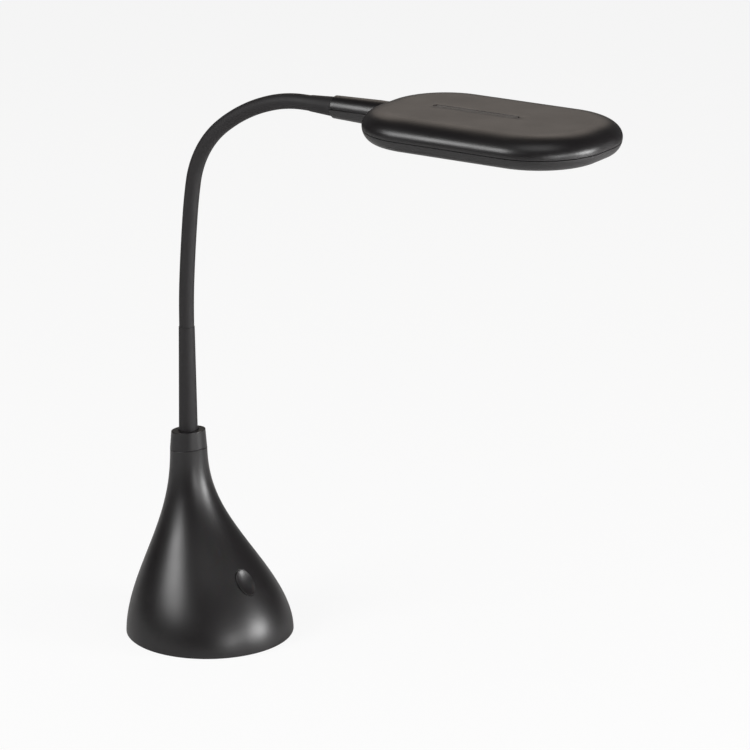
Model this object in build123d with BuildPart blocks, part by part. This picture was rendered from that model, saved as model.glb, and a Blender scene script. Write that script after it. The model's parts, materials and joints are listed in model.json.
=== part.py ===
from build123d import *
import os
from math import asin, cos, degrees, radians, sin, sqrt

# Gooseneck desk lamp, in millimetres.
# Origin: centre of the base's footprint, on the desk. +Z up, the button faces -Y, the power inlet +Y.
# The gooseneck rises from the throat of the bell and is turned a little about it, so that
# the head reaches forward over the desk.

os.makedirs("parts", exist_ok=True)

# ---------------------------------------------------------------- driving dimensions
# Base: a bell whose round sections shrink and drift backwards on the way up.
base_radius = 61.0
bell_height = 145.5  # where the bell would reach its throat radius
bell_fullness = 1.88  # higher keeps the lower half fat for longer
bell_flare = 3.26  # higher pinches the throat sooner
throat_radius = 13.4
throat_offset = 20.3  # the throat's axis behind the base's centre
seam_height = 134.6  # where the collar sits on the bell
seam_tilt = 5.75  # degrees that the collar's faces fall to the rear
base_wall = 2.5
bell_sections = 13  # round sections that the bell is lofted through

rim_lift = 0.3  # the bell's rim stays this far off the desk
plate_lift = 1.2
plate_thickness = 2.5
plate_gap = 0.3  # all round the bottom plate

pad_radius = 54.0  # non-slip pad under the plate
pad_chamfer = 0.4

ballast_radius = 42.0
ballast_height = 16.0
ballast_chamfer = 1.2
ballast_bore_radius = 5.0
ballast_screw_circle_radius = 28.0
ballast_screw_radius = 2.0
ballast_screw_length = 11.0

case_screw_circle_radius = 49.0
case_screw_radius = 1.5
case_screw_length = 11.0
boss_radius = 4.0
countersink_slope = 1.0  # rise of a countersunk head per millimetre of its radius
recess_span_ratio = 1.3  # length of a cross recess's arms, in head radii
recess_slot_ratio = 0.3  # width of its arms, in head radii
countersunk_recess_ratio = 0.5  # its depth in a countersunk head, in widths of the head's rim
pan_recess_ratio = 0.6  # its depth in a pan head, in head heights

collar_height = 13.7
collar_top_radius = 12.35
collar_bore_gap = 0.45  # shadow gap round the boot
collar_chamfer = 0.35
spigot_radius = 10.0
spigot_length = 3.5

web_thickness = 14.0  # solid top of the bell that the gooseneck is bolted through
nut_flats = 17.0
nut_height = 6.0
washer_radius = 9.35
washer_thickness = 1.2

# Power inlet: 5.5 mm barrel jack, panel mounted through the back of the bell.
jack_height = 13.0
jack_thread_radius = 4.0
jack_flange_radius = 5.8
jack_flange_thickness = 1.6
jack_flange_depth = 0.4  # how far the flange lies below the bell's surface
jack_chamfer = 0.4
jack_bore_radius = 2.75
jack_pin_radius = 1.0
jack_floor = 2.0  # left at the bottom of its bore
jack_tail = 11.0  # behind its flange
jack_exit = 4.0  # block on its tail that its lead comes out of
jack_exit_height = 5.0
jack_nut_flats = 11.0
jack_nut_height = 2.2
jack_pad_radius = 8.5

# Push button: an oval with a dished face, on the front slope of the bell.
button_height = 46.1  # where its axis leaves the slope
button_half_width = 7.3
button_half_length = 10.1
button_gap = 0.2
button_rim = 0.15  # flat land round the dish
button_dish = 1.9  # depth of the dish for a finger
button_dish_roundness = 0.6  # nearer 0 makes its edge steeper, nearer 1 makes it shallower
button_proud = 0.3
button_travel = 1.5
button_lip = 1.2  # hidden flange that keeps the cap in
button_lip_depth = 3.6
button_stem_radius = 2.0
button_stem_depth = 8.0

plunger_radius = 1.6
plunger_length = 6.0
plunger_room = 0.3  # left under the plunger when it is pressed
switch_size = 8.0
switch_corner = 0.6
switch_height = 6.0
switch_depth = 10.5
board_width = 34.0
board_length = 28.0
board_corner = 2.0
board_thickness = 1.6
board_screw_x = 13.5
board_screw_y = 10.5
board_screw_radius = 1.1
board_screw_head_height = 1.2
board_screw_bite = 3.6  # in its boss
board_boss_radius = 2.8

# On the board's back, with x to the side and y down the slope.
capacitor_radius = 4.0
capacitor_height = 8.5
capacitor_x = -7.5
capacitor_y = 4.6
coil_size = 7.0
coil_height = 4.0
coil_x = 5.5
coil_y = 6.5
regulator_length = 5.0
regulator_width = 4.0
regulator_height = 1.6
regulator_x = 1.5
regulator_y = 0.2
resistor_length = 2.0
resistor_width = 1.2
resistor_height = 0.6
resistor_x = 8.5
resistor_y = 0.1
resistor_pitch = 2.2
board_plug_y = -9.0  # sockets for the two leads, at the board's upper edge
board_plug_width = 5.6
board_plug_length = 4.5
board_plug_height = 5.0
jack_plug_x = 5.0
neck_plug_x = -1.0

# Leads inside the base: out of the board's sockets and over to the inlet, or up to the neck.
lead_stub_length = 13.0  # straight stretch out of a socket
jack_lead_radius = 1.3
jack_lead_crest_height = 58.0
jack_lead_crest_reach = 14.0  # behind the base's centre
jack_lead_slope_height = 51.0
jack_lead_slope_reach = 33.0
jack_lead_drop_height = 35.0
jack_lead_stub_bend = 12.0
jack_lead_bend = 18.0
jack_lead_drop_bend = 15.0
neck_lead_entry_drop = 8.4  # where it is in line with the throat, below the threaded ferrule
neck_lead_swing_drop = 27.4  # where it leans over, below the threaded ferrule
neck_lead_swing_offset = 6.0  # in front of the throat's axis
neck_lead_stub_bend = 30.0
neck_lead_swing_bend = 60.0
neck_lead_entry_bend = 55.0

# Gooseneck: steel hose in a soft sleeve, as stiff links that turn on ball-shaped ends.
neck_turn = 12.3  # degrees about the throat's axis
neck_radius = 5.4  # outside of the sleeve
hose_radius = 4.2
hose_bore_radius = 3.0
lead_radius = 1.6
neck_fit = 0.05  # play between sleeve, hose and what grips them
link_length = 25.3
link_clearance = 0.2  # between a ball end and the cup that it turns in
link_bends = [3.0, 1.5, 1.0, 4.0, 20.5, 20.5, 12.0, 12.0, 15.5]  # degrees in each link at rest
first_pivot_height = 233.0

boot_length = 77.7
boot_base_radius = 6.92
boot_tip_radius = 5.75
boot_tip_fillet = 0.3
boot_foot_depth = 8.0  # how far the boot reaches down inside the collar
sleeve_foot_rise = 2.0  # where the sleeve begins above the collar

ferrule_radius = 5.9
ferrule_chamfer = 0.6
ferrule_flange_radius = 8.0
ferrule_flange_thickness = 2.0
ferrule_grip = 8.0  # length of hose held in each ferrule
ferrule_tail = 6.0  # free thread below the lock nut
ferrule_bore_radius = 3.4

# Head: a flat pebble, oval in plan.
head_length = 177.0
head_width = 113.0
head_corner = 48.3
head_top_height = 11.4  # above the widest line
head_bottom_depth = 10.4
top_rim_inset = 18.5  # how far in the rounded top rim reaches
bottom_rim_inset = 8.9
head_wall = 2.0
seam_drop = 2.0  # the covers meet this far below the widest line
seam_gap = 0.35
lip_inset = 2.5
lip_wall = 1.2
lip_rise = 2.6
lip_root = 2.4

socket_reach = 25.4  # from the last pivot to the socket's mouth
socket_length = 36.3  # from the mouth to the head's rear edge
socket_shoulder = 9.0  # full-width stretch inside the head
socket_tongue = 15.0  # all that is inside the head
tongue_shrink = 1.6  # how much thinner the tongue is than the root
socket_mouth_radius = 7.95
socket_root_radius = 9.05
socket_chamfer = 0.9
socket_gap = 0.15
ear_place = 4.4  # ears that hook behind the head's rear wall
ear_height = 3.8
ear_reach = 14.0
ear_thickness = 2.4
socket_screw_offset = 5.9
socket_screw_radius = 0.9
socket_screw_seat = 1.5  # below the seam, where the screws' heads bear
socket_screw_bite = 2.2  # above the seam
socket_screw_head_height = 1.0

upper_boot_start = 6.2
upper_boot_depth = 6.6  # length hidden in the socket
upper_boot_tip_radius = 5.7
upper_boot_root_radius = 6.85
sleeve_end_length = 24.0
upper_flange_place = 34.0
upper_flange_radius = 6.9
upper_ferrule_end = 52.0

slot_length = 66.0
slot_width = 4.3
slot_shift = -11.9  # the slot's middle from the head's centre
slot_gap = 0.3
slot_depth_below_top = 0.1
slot_flange = 1.6
slot_flange_thickness = 1.0
slot_pinhole_radius = 0.95  # small blind hole at the strip's rear end
slot_pinhole_inset = 1.45  # from the slot's tip to its axis
slot_pinhole_depth = 0.9

window_inset = 18.0
diffuser_flange = 2.6
diffuser_thickness = 0.8
diffuser_recess = 0.5
led_board_inset = 20.0
led_board_height = 1.0
led_board_notch = 8.0  # width of the notch that the neck's lead rises through
led_board_notch_depth = 3.0
led_rows = 4
led_columns = 8
led_pitch_x = 14.5
led_pitch_y = 16.0
led_length = 3.5
led_width = 2.8
led_thickness = 0.9
spreader_thickness = 1.6
spreader_inset = 24.0
spreader_rear_room = 20.0  # kept free for the connector
reflector_wall = 1.2
head_connector_length = 8.0
head_connector_height = 4.2
head_connector_place = 25.0  # its rear face from the head's rear edge
head_lead_stub_length = 3.0  # straight stretch into the connector
head_lead_rise_length = 8.0  # stretch in which the lead rises from the axis to the connector
head_lead_bend = 8.0
head_screw_inset = 11.0
head_screw_radius = 1.3
head_screw_head = 2.6
head_screw_length = 8.0
head_boss_radius = 3.2
led_post_x = 3 * led_pitch_x  # midway between LEDs, both ways
led_post_y = led_pitch_y
led_post_radius = 3.0
led_screw_radius = 1.1
led_screw_head = 1.9
led_screw_head_height = 1.0
led_screw_length = 6.0

thread_play = 0.05  # between a thread and its hole
free_play = 0.2  # round a screw that passes through a piece
seat_play = 0.05  # between stacked flat pieces
cut_over = 1.0  # how far a cutting body overshoots the face that it opens


# ---------------------------------------------------------------- shared geometry
def save(builder, name):
    builder.part.label = name
    export_step(builder.part, f"parts/{name}.step")


def bell_share(z):
    """How much of the flare from throat to foot is left at height z: (1 - t^fullness)^flare."""
    t = min(z / bell_height, 1.0)
    return (1 - t**bell_fullness) ** bell_flare


def bell_radius(z):
    return throat_radius + (base_radius - throat_radius) * bell_share(z)


def bell_centre(z):
    return throat_offset * (1 - bell_share(z))


def bell_front(z):
    return bell_centre(z) - bell_radius(z)


def bell_rear(z):
    return bell_centre(z) + bell_radius(z)


def bell_level(z):
    return Plane(origin=(0, bell_centre(z), z))


throat_level = Plane(origin=(0, throat_offset, 0))


def throat_at(z):
    return throat_level.offset(z)


def slanted(z):
    """Plane across the throat at height z, falling to the rear by the seam's tilt."""
    tilt = radians(seam_tilt)
    return Plane(origin=(0, throat_offset, z), x_dir=(1, 0, 0), z_dir=(0, sin(tilt), cos(tilt)))


# Button frame: x to the side, y up the slope, z out of the bell.
slope_step = 0.5
front_slope = (bell_front(button_height + slope_step) - bell_front(button_height - slope_step)) / (
    2 * slope_step
)
button_frame = Plane(
    origin=(0, bell_front(button_height), button_height),
    x_dir=(1, 0, 0),
    z_dir=(0, -1, front_slope),
)

# Gooseneck frames: x to the side, y to the outside of the bend, z along the neck.
turn = radians(neck_turn)
forward = Vector(sin(turn), -cos(turn), 0)
sideways = Vector(cos(turn), sin(turn), 0)


def neck_frame(reach, height, heading):
    """Plane across the neck, at a reach in front of the throat's axis and a heading in degrees."""
    origin = Vector(0, throat_offset, height) + forward * reach
    along = forward * sin(radians(heading)) + Vector(0, 0, cos(radians(heading)))
    return Plane(origin=origin, x_dir=sideways, z_dir=along)


def walk_neck():
    """One frame for each pivot, found by walking along the links' arcs."""
    reach, height, heading = 0.0, first_pivot_height, 0.0
    frames = [neck_frame(reach, height, heading)]
    for bend in link_bends:
        radius = link_length / radians(bend)
        start, end = radians(heading), radians(heading + bend)
        reach += radius * (cos(start) - cos(end))
        height += radius * (sin(end) - sin(start))
        heading += bend
        frames.append(neck_frame(reach, height, heading))
    return frames


pivots = walk_neck()
head_axis = pivots[-1]  # frame whose z runs along the socket into the head
link_count = len(link_bends)

# Head frame: x forward, y to the side, z up, at the middle of the widest outline.
head_centre_reach = socket_reach + socket_length + head_length / 2
head_frame = Plane(
    origin=head_axis.origin + head_axis.z_dir * head_centre_reach,
    x_dir=head_axis.z_dir,
    z_dir=head_axis.y_dir,
)


def head_level(height):
    return head_frame.offset(height)


def head_oval(inset):
    RectangleRounded(head_length - 2 * inset, head_width - 2 * inset, head_corner - inset)


# ---------------------------------------------------------------- base: the bell
web_bottom = seam_height - web_thickness
flange_top = seam_height - spigot_length - collar_bore_gap
flange_bottom = flange_top - ferrule_flange_thickness
plate_top = plate_lift + plate_thickness
plate_radius = bell_radius(plate_top) - base_wall - plate_gap
bell_blank_top = seam_height + throat_radius * sin(radians(seam_tilt)) + cut_over


def case_screws():
    return PolarLocations(case_screw_circle_radius, 4, start_angle=45)


def ballast_screws():
    return PolarLocations(ballast_screw_circle_radius, 3)


with BuildPart() as bell_blank:
    for i in range(bell_sections):
        z = rim_lift + (bell_blank_top - rim_lift) * i / (bell_sections - 1)
        with BuildSketch(bell_level(z)):
            Circle(bell_radius(z))
    loft()
    split(bisect_by=slanted(seam_height), keep=Keep.BOTTOM)

with BuildPart() as bell_hollow:
    for i in range(bell_sections):
        z = rim_lift + (web_bottom - rim_lift) * i / (bell_sections - 1)
        with BuildSketch(bell_level(z)):
            Circle(bell_radius(z) - base_wall)
    loft()

board_face_depth = switch_depth + switch_height
with BuildPart() as inner_bosses:
    with BuildSketch(Plane.XY.offset(plate_top + seat_play)):
        with case_screws():
            Circle(boss_radius)
    extrude(amount=button_height)
    with BuildSketch(button_frame.offset(-board_face_depth)):
        with GridLocations(2 * board_screw_x, 2 * board_screw_y, 2, 2):
            Circle(board_boss_radius)
    extrude(amount=board_face_depth)
    with BuildSketch(Plane((0, bell_rear(jack_height) - 2 * base_wall, jack_height), z_dir=(0, 1, 0))):
        Circle(jack_pad_radius)
    extrude(amount=2 * base_wall)
    add(bell_blank.part, mode=Mode.INTERSECT)

jack_face = bell_rear(jack_height) - jack_flange_thickness - jack_flange_depth
jack_wall_inside = bell_rear(jack_height) - 2 * base_wall
jack_frame = Plane((0, jack_face, jack_height), x_dir=(1, 0, 0), z_dir=(0, 1, 0))
jack_lead_y = jack_face - jack_tail + jack_exit / 2

with BuildPart() as base_shell:
    add(bell_blank.part)
    add(bell_hollow.part, mode=Mode.SUBTRACT)
    add(inner_bosses.part)
    # pilot holes for the case screws
    with BuildSketch(Plane.XY.offset(plate_top)):
        with case_screws():
            Circle(case_screw_radius + thread_play)
    extrude(amount=case_screw_length, mode=Mode.SUBTRACT)
    # throat: bore for the threaded ferrule, seat for its flange, mouth for the collar's spigot
    with BuildSketch(throat_at(web_bottom)):
        Circle(ferrule_radius + 2 * thread_play)
    extrude(amount=web_thickness + throat_radius, mode=Mode.SUBTRACT)
    with BuildSketch(throat_at(flange_bottom)):
        Circle(spigot_radius + thread_play)
    extrude(amount=web_thickness, mode=Mode.SUBTRACT)
    # oval hole for the button
    with BuildSketch(button_frame.offset(-button_lip_depth)):
        Ellipse(button_half_width + button_gap, button_half_length + button_gap)
    extrude(amount=board_face_depth, mode=Mode.SUBTRACT)
    # pilot holes in the board bosses
    with BuildSketch(button_frame.offset(-board_face_depth)):
        with GridLocations(2 * board_screw_x, 2 * board_screw_y, 2, 2):
            Circle(board_screw_radius + thread_play)
    extrude(amount=switch_height, mode=Mode.SUBTRACT)
    # seat and hole for the power inlet
    with BuildSketch(jack_frame):
        Circle(jack_flange_radius + thread_play)
    extrude(amount=jack_pad_radius, mode=Mode.SUBTRACT)
    with BuildSketch(jack_frame.offset(-jack_pad_radius)):
        Circle(jack_thread_radius + thread_play)
    extrude(amount=jack_pad_radius, mode=Mode.SUBTRACT)
save(base_shell, "base_shell")


# ---------------------------------------------------------------- fasteners
upright = (Align.CENTER, Align.CENTER, Align.MIN)
hanging = (Align.CENTER, Align.CENTER, Align.MAX)


def cross_recess(head_radius, depth):
    """Two crossed slots cut down from the screw's own z = 0."""
    span, slot = recess_span_ratio * head_radius, recess_slot_ratio * head_radius
    Box(span, slot, depth, align=hanging, mode=Mode.SUBTRACT)
    Box(slot, span, depth, align=hanging, mode=Mode.SUBTRACT)


def countersunk_screw(length, radius, head_radius):
    """Screw whose flat head ends at z = 0, its shaft pointing to -z."""
    Cylinder(radius, length, align=hanging)
    Cone(radius, head_radius, (head_radius - radius) / countersink_slope, align=hanging)
    cross_recess(head_radius, countersunk_recess_ratio * (head_radius - radius))


def pan_screw(length, radius, head_radius, head_height):
    """Screw whose head stands on z = -head_height, its shaft below it."""
    Cylinder(head_radius, head_height, align=hanging)
    Cylinder(radius, head_height + length, align=hanging)
    cross_recess(head_radius, pan_recess_ratio * head_height)


def facing_down(height):
    return Plane(origin=(0, 0, height), x_dir=(1, 0, 0), z_dir=(0, 0, -1))


# ---------------------------------------------------------------- base: plate, pad, ballast
case_screw_head = 2 * case_screw_radius
ballast_screw_head = 2 * ballast_screw_radius


def countersink(radius, head_radius):
    """Through hole in the bottom plate with a seat for a countersunk head, opening downwards."""
    Cylinder(radius + free_play, plate_thickness, align=hanging, mode=Mode.SUBTRACT)
    Cone(
        radius + free_play,
        head_radius + free_play,
        (head_radius - radius) / countersink_slope,
        align=hanging,
        mode=Mode.SUBTRACT,
    )


with BuildPart() as bottom_plate:
    with BuildSketch(Plane.XY.offset(plate_lift)):
        Circle(plate_radius)
    extrude(amount=plate_thickness)
    chamfer(bottom_plate.edges().filter_by(GeomType.CIRCLE).group_by(Axis.Z)[0], length=pad_chamfer)
    with Locations(facing_down(plate_lift)):
        with case_screws():
            countersink(case_screw_radius, case_screw_head)
        with ballast_screws():
            countersink(ballast_screw_radius, ballast_screw_head)
save(bottom_plate, "bottom_plate")

with BuildPart() as bottom_screws:
    with Locations(facing_down(plate_lift)):
        with case_screws():
            countersunk_screw(
                plate_thickness + case_screw_length - cut_over, case_screw_radius, case_screw_head
            )
save(bottom_screws, "bottom_screws")

with BuildPart() as foot_pad:
    with BuildSketch():
        Circle(pad_radius)
    extrude(amount=plate_lift)
    chamfer(foot_pad.edges().group_by(Axis.Z)[0], length=pad_chamfer)
save(foot_pad, "foot_pad")

with BuildPart() as ballast_weight:
    with BuildSketch(Plane.XY.offset(plate_top)):
        Circle(ballast_radius)
    extrude(amount=ballast_height)
    chamfer(ballast_weight.edges(), length=ballast_chamfer)
    with BuildSketch(Plane.XY.offset(plate_top)):
        with ballast_screws():
            Circle(ballast_screw_radius + thread_play)
        Circle(ballast_bore_radius)
    extrude(amount=ballast_height, mode=Mode.SUBTRACT)
save(ballast_weight, "ballast_weight")

with BuildPart() as weight_screws:
    with Locations(facing_down(plate_lift)):
        with ballast_screws():
            countersunk_screw(ballast_screw_length, ballast_screw_radius, ballast_screw_head)
save(weight_screws, "weight_screws")

# ---------------------------------------------------------------- base: collar and neck fitting
collar_top = seam_height + collar_height
collar_bore = boot_base_radius + collar_bore_gap
collar_foot_radius = bell_radius(seam_height)
collar_slope = (collar_foot_radius - collar_top_radius) / collar_height
slant_rise = collar_foot_radius * sin(radians(seam_tilt)) + cut_over

with BuildPart() as neck_collar:
    with BuildSketch(throat_at(seam_height - slant_rise)):
        Circle(collar_foot_radius + collar_slope * slant_rise)
    with BuildSketch(throat_at(collar_top + slant_rise)):
        Circle(collar_top_radius - collar_slope * slant_rise)
    loft()
    split(bisect_by=slanted(seam_height), keep=Keep.TOP)
    split(bisect_by=slanted(collar_top), keep=Keep.BOTTOM)
    chamfer(neck_collar.edges().filter_by(GeomType.ELLIPSE), length=collar_chamfer)
    with BuildSketch(throat_at(seam_height - spigot_length)):
        Circle(spigot_radius)
    extrude(amount=spigot_length + cut_over)
    with BuildSketch(throat_at(seam_height - spigot_length)):
        Circle(collar_bore)
    extrude(amount=spigot_length + collar_height + slant_rise, mode=Mode.SUBTRACT)
save(neck_collar, "neck_collar")

sleeve_foot_start = collar_top + sleeve_foot_rise
hose_socket = hose_radius + neck_fit
ferrule_bottom = web_bottom - washer_thickness - nut_height - ferrule_tail

with BuildPart() as lower_ferrule:
    with BuildSketch(throat_at(ferrule_bottom)):
        Circle(ferrule_radius)
        Circle(ferrule_bore_radius, mode=Mode.SUBTRACT)
    extrude(amount=sleeve_foot_start - ferrule_bottom)
    outer_foot_edge = lower_ferrule.edges().group_by(Axis.Z)[0].sort_by(SortBy.RADIUS)[-1]
    chamfer(outer_foot_edge, length=ferrule_chamfer)
    with BuildSketch(throat_at(flange_bottom)):
        Circle(ferrule_flange_radius)
        Circle(ferrule_bore_radius, mode=Mode.SUBTRACT)
    extrude(amount=ferrule_flange_thickness)
    with BuildSketch(throat_at(sleeve_foot_start - ferrule_grip)):
        Circle(hose_socket)
    extrude(amount=ferrule_grip, mode=Mode.SUBTRACT)
save(lower_ferrule, "lower_ferrule")

with BuildPart() as lock_washer:
    with BuildSketch(throat_at(web_bottom - washer_thickness)):
        Circle(washer_radius)
        Circle(ferrule_radius + 2 * thread_play, mode=Mode.SUBTRACT)
    extrude(amount=washer_thickness)
save(lock_washer, "lock_washer")

with BuildPart() as lock_nut:
    with BuildSketch(throat_at(web_bottom - washer_thickness - nut_height)):
        RegularPolygon(nut_flats / 2, 6, major_radius=False)
        Circle(ferrule_radius + thread_play, mode=Mode.SUBTRACT)
    extrude(amount=nut_height)
save(lock_nut, "lock_nut")

boot_bottom = collar_top - boot_foot_depth
boot_top = collar_top + boot_length
sleeve_bore = hose_radius + neck_fit
with BuildPart() as lower_boot:
    with BuildSketch(throat_at(boot_bottom)):
        Circle(boot_base_radius)
    with BuildSketch(throat_at(boot_top)):
        Circle(boot_tip_radius)
    loft()
    fillet(lower_boot.edges().group_by(Axis.Z)[-1], radius=boot_tip_fillet)
    with BuildSketch(throat_at(boot_bottom)):
        Circle(neck_radius + neck_fit)
    extrude(amount=boot_top - boot_bottom, mode=Mode.SUBTRACT)
    with BuildSketch(throat_at(boot_bottom)):
        Circle(ferrule_radius + neck_fit)
    extrude(amount=sleeve_foot_start - boot_bottom, mode=Mode.SUBTRACT)
save(lower_boot, "lower_boot")

# ---------------------------------------------------------------- base: power inlet
with BuildPart() as dc_jack:
    with BuildSketch(jack_frame):
        Circle(jack_flange_radius)
    extrude(amount=jack_flange_thickness)
    chamfer(dc_jack.edges().group_by(Axis.Y)[-1], length=jack_chamfer)
    with BuildSketch(jack_frame):
        Circle(jack_thread_radius)
    extrude(amount=-jack_tail)
    with BuildSketch(jack_frame.offset(jack_flange_thickness)):
        Circle(jack_bore_radius)
        Circle(jack_pin_radius, mode=Mode.SUBTRACT)
    extrude(amount=-(jack_tail + jack_flange_thickness - jack_floor), mode=Mode.SUBTRACT)
    with Locations((0, jack_lead_y, jack_height)):
        Box(jack_exit, jack_exit, jack_exit_height, align=upright)
save(dc_jack, "dc_jack")

with BuildPart() as jack_nut:
    with BuildSketch(Plane((0, jack_wall_inside, jack_height), x_dir=(1, 0, 0), z_dir=(0, -1, 0))):
        RegularPolygon(jack_nut_flats / 2, 6, major_radius=False)
        Circle(jack_thread_radius + thread_play, mode=Mode.SUBTRACT)
    extrude(amount=jack_nut_height)
save(jack_nut, "jack_nut")

# ---------------------------------------------------------------- base: switch and control board
with BuildPart() as control_board:
    with BuildSketch(button_frame.offset(-board_face_depth)):
        RectangleRounded(board_width, board_length, board_corner)
        with GridLocations(2 * board_screw_x, 2 * board_screw_y, 2, 2):
            Circle(board_screw_radius + free_play, mode=Mode.SUBTRACT)
    extrude(amount=-board_thickness)
save(control_board, "control_board")

board_back = button_frame.offset(-board_face_depth - board_thickness)
behind_board = Plane(origin=board_back.origin, x_dir=board_back.x_dir, z_dir=-board_back.z_dir)
with BuildPart() as board_screws:
    with Locations(behind_board.offset(board_screw_head_height)):
        with GridLocations(2 * board_screw_x, 2 * board_screw_y, 2, 2):
            pan_screw(
                board_thickness + board_screw_bite,
                board_screw_radius,
                2 * board_screw_radius,
                board_screw_head_height,
            )
save(board_screws, "board_screws")

with BuildPart() as push_switch:
    with BuildSketch(button_frame.offset(-board_face_depth)):
        RectangleRounded(switch_size, switch_size, switch_corner)
    extrude(amount=switch_height)
    plunger_end = button_stem_depth + plunger_length
    with BuildSketch(button_frame.offset(-plunger_end - button_travel - plunger_room)):
        Circle(plunger_radius + 2 * thread_play)
    extrude(amount=switch_height, mode=Mode.SUBTRACT)
save(push_switch, "push_switch")

with BuildPart() as board_components:
    with Locations(behind_board):
        with Locations((capacitor_x, capacitor_y), (capacitor_x, -capacitor_y)):
            Cylinder(capacitor_radius, capacitor_height, align=upright)
        with Locations((coil_x, coil_y)):
            Box(coil_size, coil_size, coil_height, align=upright)
        with Locations((regulator_x, regulator_y)):
            Box(regulator_length, regulator_width, regulator_height, align=upright)
        with Locations((jack_plug_x, board_plug_y), (neck_plug_x, board_plug_y)):
            Box(board_plug_width, board_plug_length, board_plug_height, align=upright)
        with Locations((resistor_x, resistor_y)):
            with GridLocations(1, resistor_pitch, 1, 2):
                Box(resistor_length, resistor_width, resistor_height, align=upright)
save(board_components, "board_components")

# ---------------------------------------------------------------- button
# The dish is the cap of an ellipsoid whose middle stands above the button's rim.
dish_spread = 1 / sqrt(1 - button_dish_roundness**2)
dish_radius = button_dish / (1 - button_dish_roundness)
dish_middle = button_proud - button_dish + dish_radius
with BuildPart() as button_dish_tool:
    Sphere(1.0)
    scale(
        by=(
            (button_half_width - button_rim) * dish_spread,
            (button_half_length - button_rim) * dish_spread,
            dish_radius,
        )
    )

with BuildPart() as switch_button:
    with BuildSketch(button_frame.offset(-button_lip_depth)):
        Ellipse(button_half_width, button_half_length)
    extrude(amount=button_lip_depth + button_proud)
    with BuildSketch(button_frame.offset(-button_lip_depth)):
        Ellipse(button_half_width + button_lip, button_half_length + button_lip)
    extrude(amount=-button_lip)
    with BuildSketch(button_frame.offset(-button_stem_depth)):
        Circle(button_stem_radius)
    extrude(amount=button_stem_depth - button_lip_depth)
    add(button_frame.offset(dish_middle).location * button_dish_tool.part, mode=Mode.SUBTRACT)
save(switch_button, "switch_button")

with BuildPart() as switch_plunger:
    with BuildSketch(button_frame.offset(-button_stem_depth)):
        Circle(plunger_radius)
    extrude(amount=-plunger_length)
save(switch_plunger, "switch_plunger")

# ---------------------------------------------------------------- gooseneck
def ring(plane, outer, bore=0.0):
    """Flat ring, or a disc where there is no bore."""
    with BuildSketch(plane) as section:
        Circle(outer)
        if bore:
            Circle(bore, mode=Mode.SUBTRACT)
    return section.sketch


def ball_end(frame, outer, bore):
    """Ball-shaped far end of a tube: the part of the pivot's ball between bore and outside."""
    lengthwise = Plane(origin=frame.origin, x_dir=frame.x_dir, z_dir=-frame.y_dir)
    with BuildSketch(lengthwise) as section:
        Circle(neck_radius)
        with Locations(((outer + bore) / 2, neck_radius / 2)):
            Rectangle(outer - bore, neck_radius, mode=Mode.INTERSECT)
    revolve(section.sketch, axis=Axis(frame.origin, frame.z_dir))


def cup_end(frame):
    """Hollows a tube's near end so that the ball before it turns freely."""
    with Locations(frame.origin):
        Sphere(neck_radius + link_clearance, mode=Mode.SUBTRACT)


def tube_link(index, outer, bore):
    """One link: a tube along its arc, with a cup at its near end and a ball at its far end."""
    start, end = pivots[index], pivots[index + 1]
    arc_centre = start.origin - start.y_dir * (link_length / radians(link_bends[index]))
    revolve(ring(start, outer, bore), axis=Axis(arc_centre, start.x_dir), revolution_arc=link_bends[index])
    ball_end(end, outer, bore)
    cup_end(start)


def neck_layer(layer, outer, bore, grip):
    """All pieces of one layer of the neck; grip is how far its ends run on into the ferrules."""
    with BuildPart() as foot_tube:
        foot_start = sleeve_foot_start - grip
        extrude(ring(throat_at(foot_start), outer, bore), amount=first_pivot_height - foot_start)
        ball_end(pivots[0], outer, bore)
    save(foot_tube, f"{layer}_foot")
    for index in range(link_count):
        with BuildPart() as link_tube:
            tube_link(index, outer, bore)
        save(link_tube, f"{layer}_link_{index + 1}")
    with BuildPart() as end_tube:
        extrude(ring(head_axis, outer, bore), amount=sleeve_end_length + grip)
        cup_end(head_axis)
    save(end_tube, f"{layer}_end")


neck_layer("sleeve", neck_radius, sleeve_bore, 0)
neck_layer("hose", hose_radius, hose_bore_radius, ferrule_grip)

# ---------------------------------------------------------------- head: what joins it to the neck
boot_end = socket_reach + upper_boot_depth
with BuildPart() as upper_boot:
    with BuildSketch(head_axis.offset(upper_boot_start)):
        Circle(upper_boot_tip_radius)
    with BuildSketch(head_axis.offset(socket_reach)):
        Circle(upper_boot_root_radius)
    loft()
    extrude(ring(head_axis.offset(socket_reach), upper_boot_root_radius), amount=upper_boot_depth)
    extrude(
        ring(head_axis.offset(upper_boot_start), neck_radius + neck_fit),
        amount=boot_end - upper_boot_start,
        mode=Mode.SUBTRACT,
    )
    extrude(
        ring(head_axis.offset(sleeve_end_length), ferrule_radius + neck_fit),
        amount=boot_end - sleeve_end_length,
        mode=Mode.SUBTRACT,
    )
save(upper_boot, "upper_boot")

with BuildPart() as upper_ferrule:
    ferrule_start = head_axis.offset(sleeve_end_length)
    flange_start = head_axis.offset(upper_flange_place)
    extrude(
        ring(ferrule_start, ferrule_radius, ferrule_bore_radius),
        amount=upper_ferrule_end - sleeve_end_length,
    )
    extrude(
        ring(flange_start, upper_flange_radius, ferrule_bore_radius), amount=ferrule_flange_thickness
    )
    extrude(ring(ferrule_start, hose_socket), amount=ferrule_grip, mode=Mode.SUBTRACT)
save(upper_ferrule, "upper_ferrule")

# The clamshell socket: two halves that meet on a plane through the neck's axis.
head_rear = socket_reach + socket_length  # along head_axis, where the head's outline begins
shoulder_end = head_rear + socket_shoulder
tongue_end = head_rear + socket_tongue
tongue_radius = socket_root_radius - tongue_shrink


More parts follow.
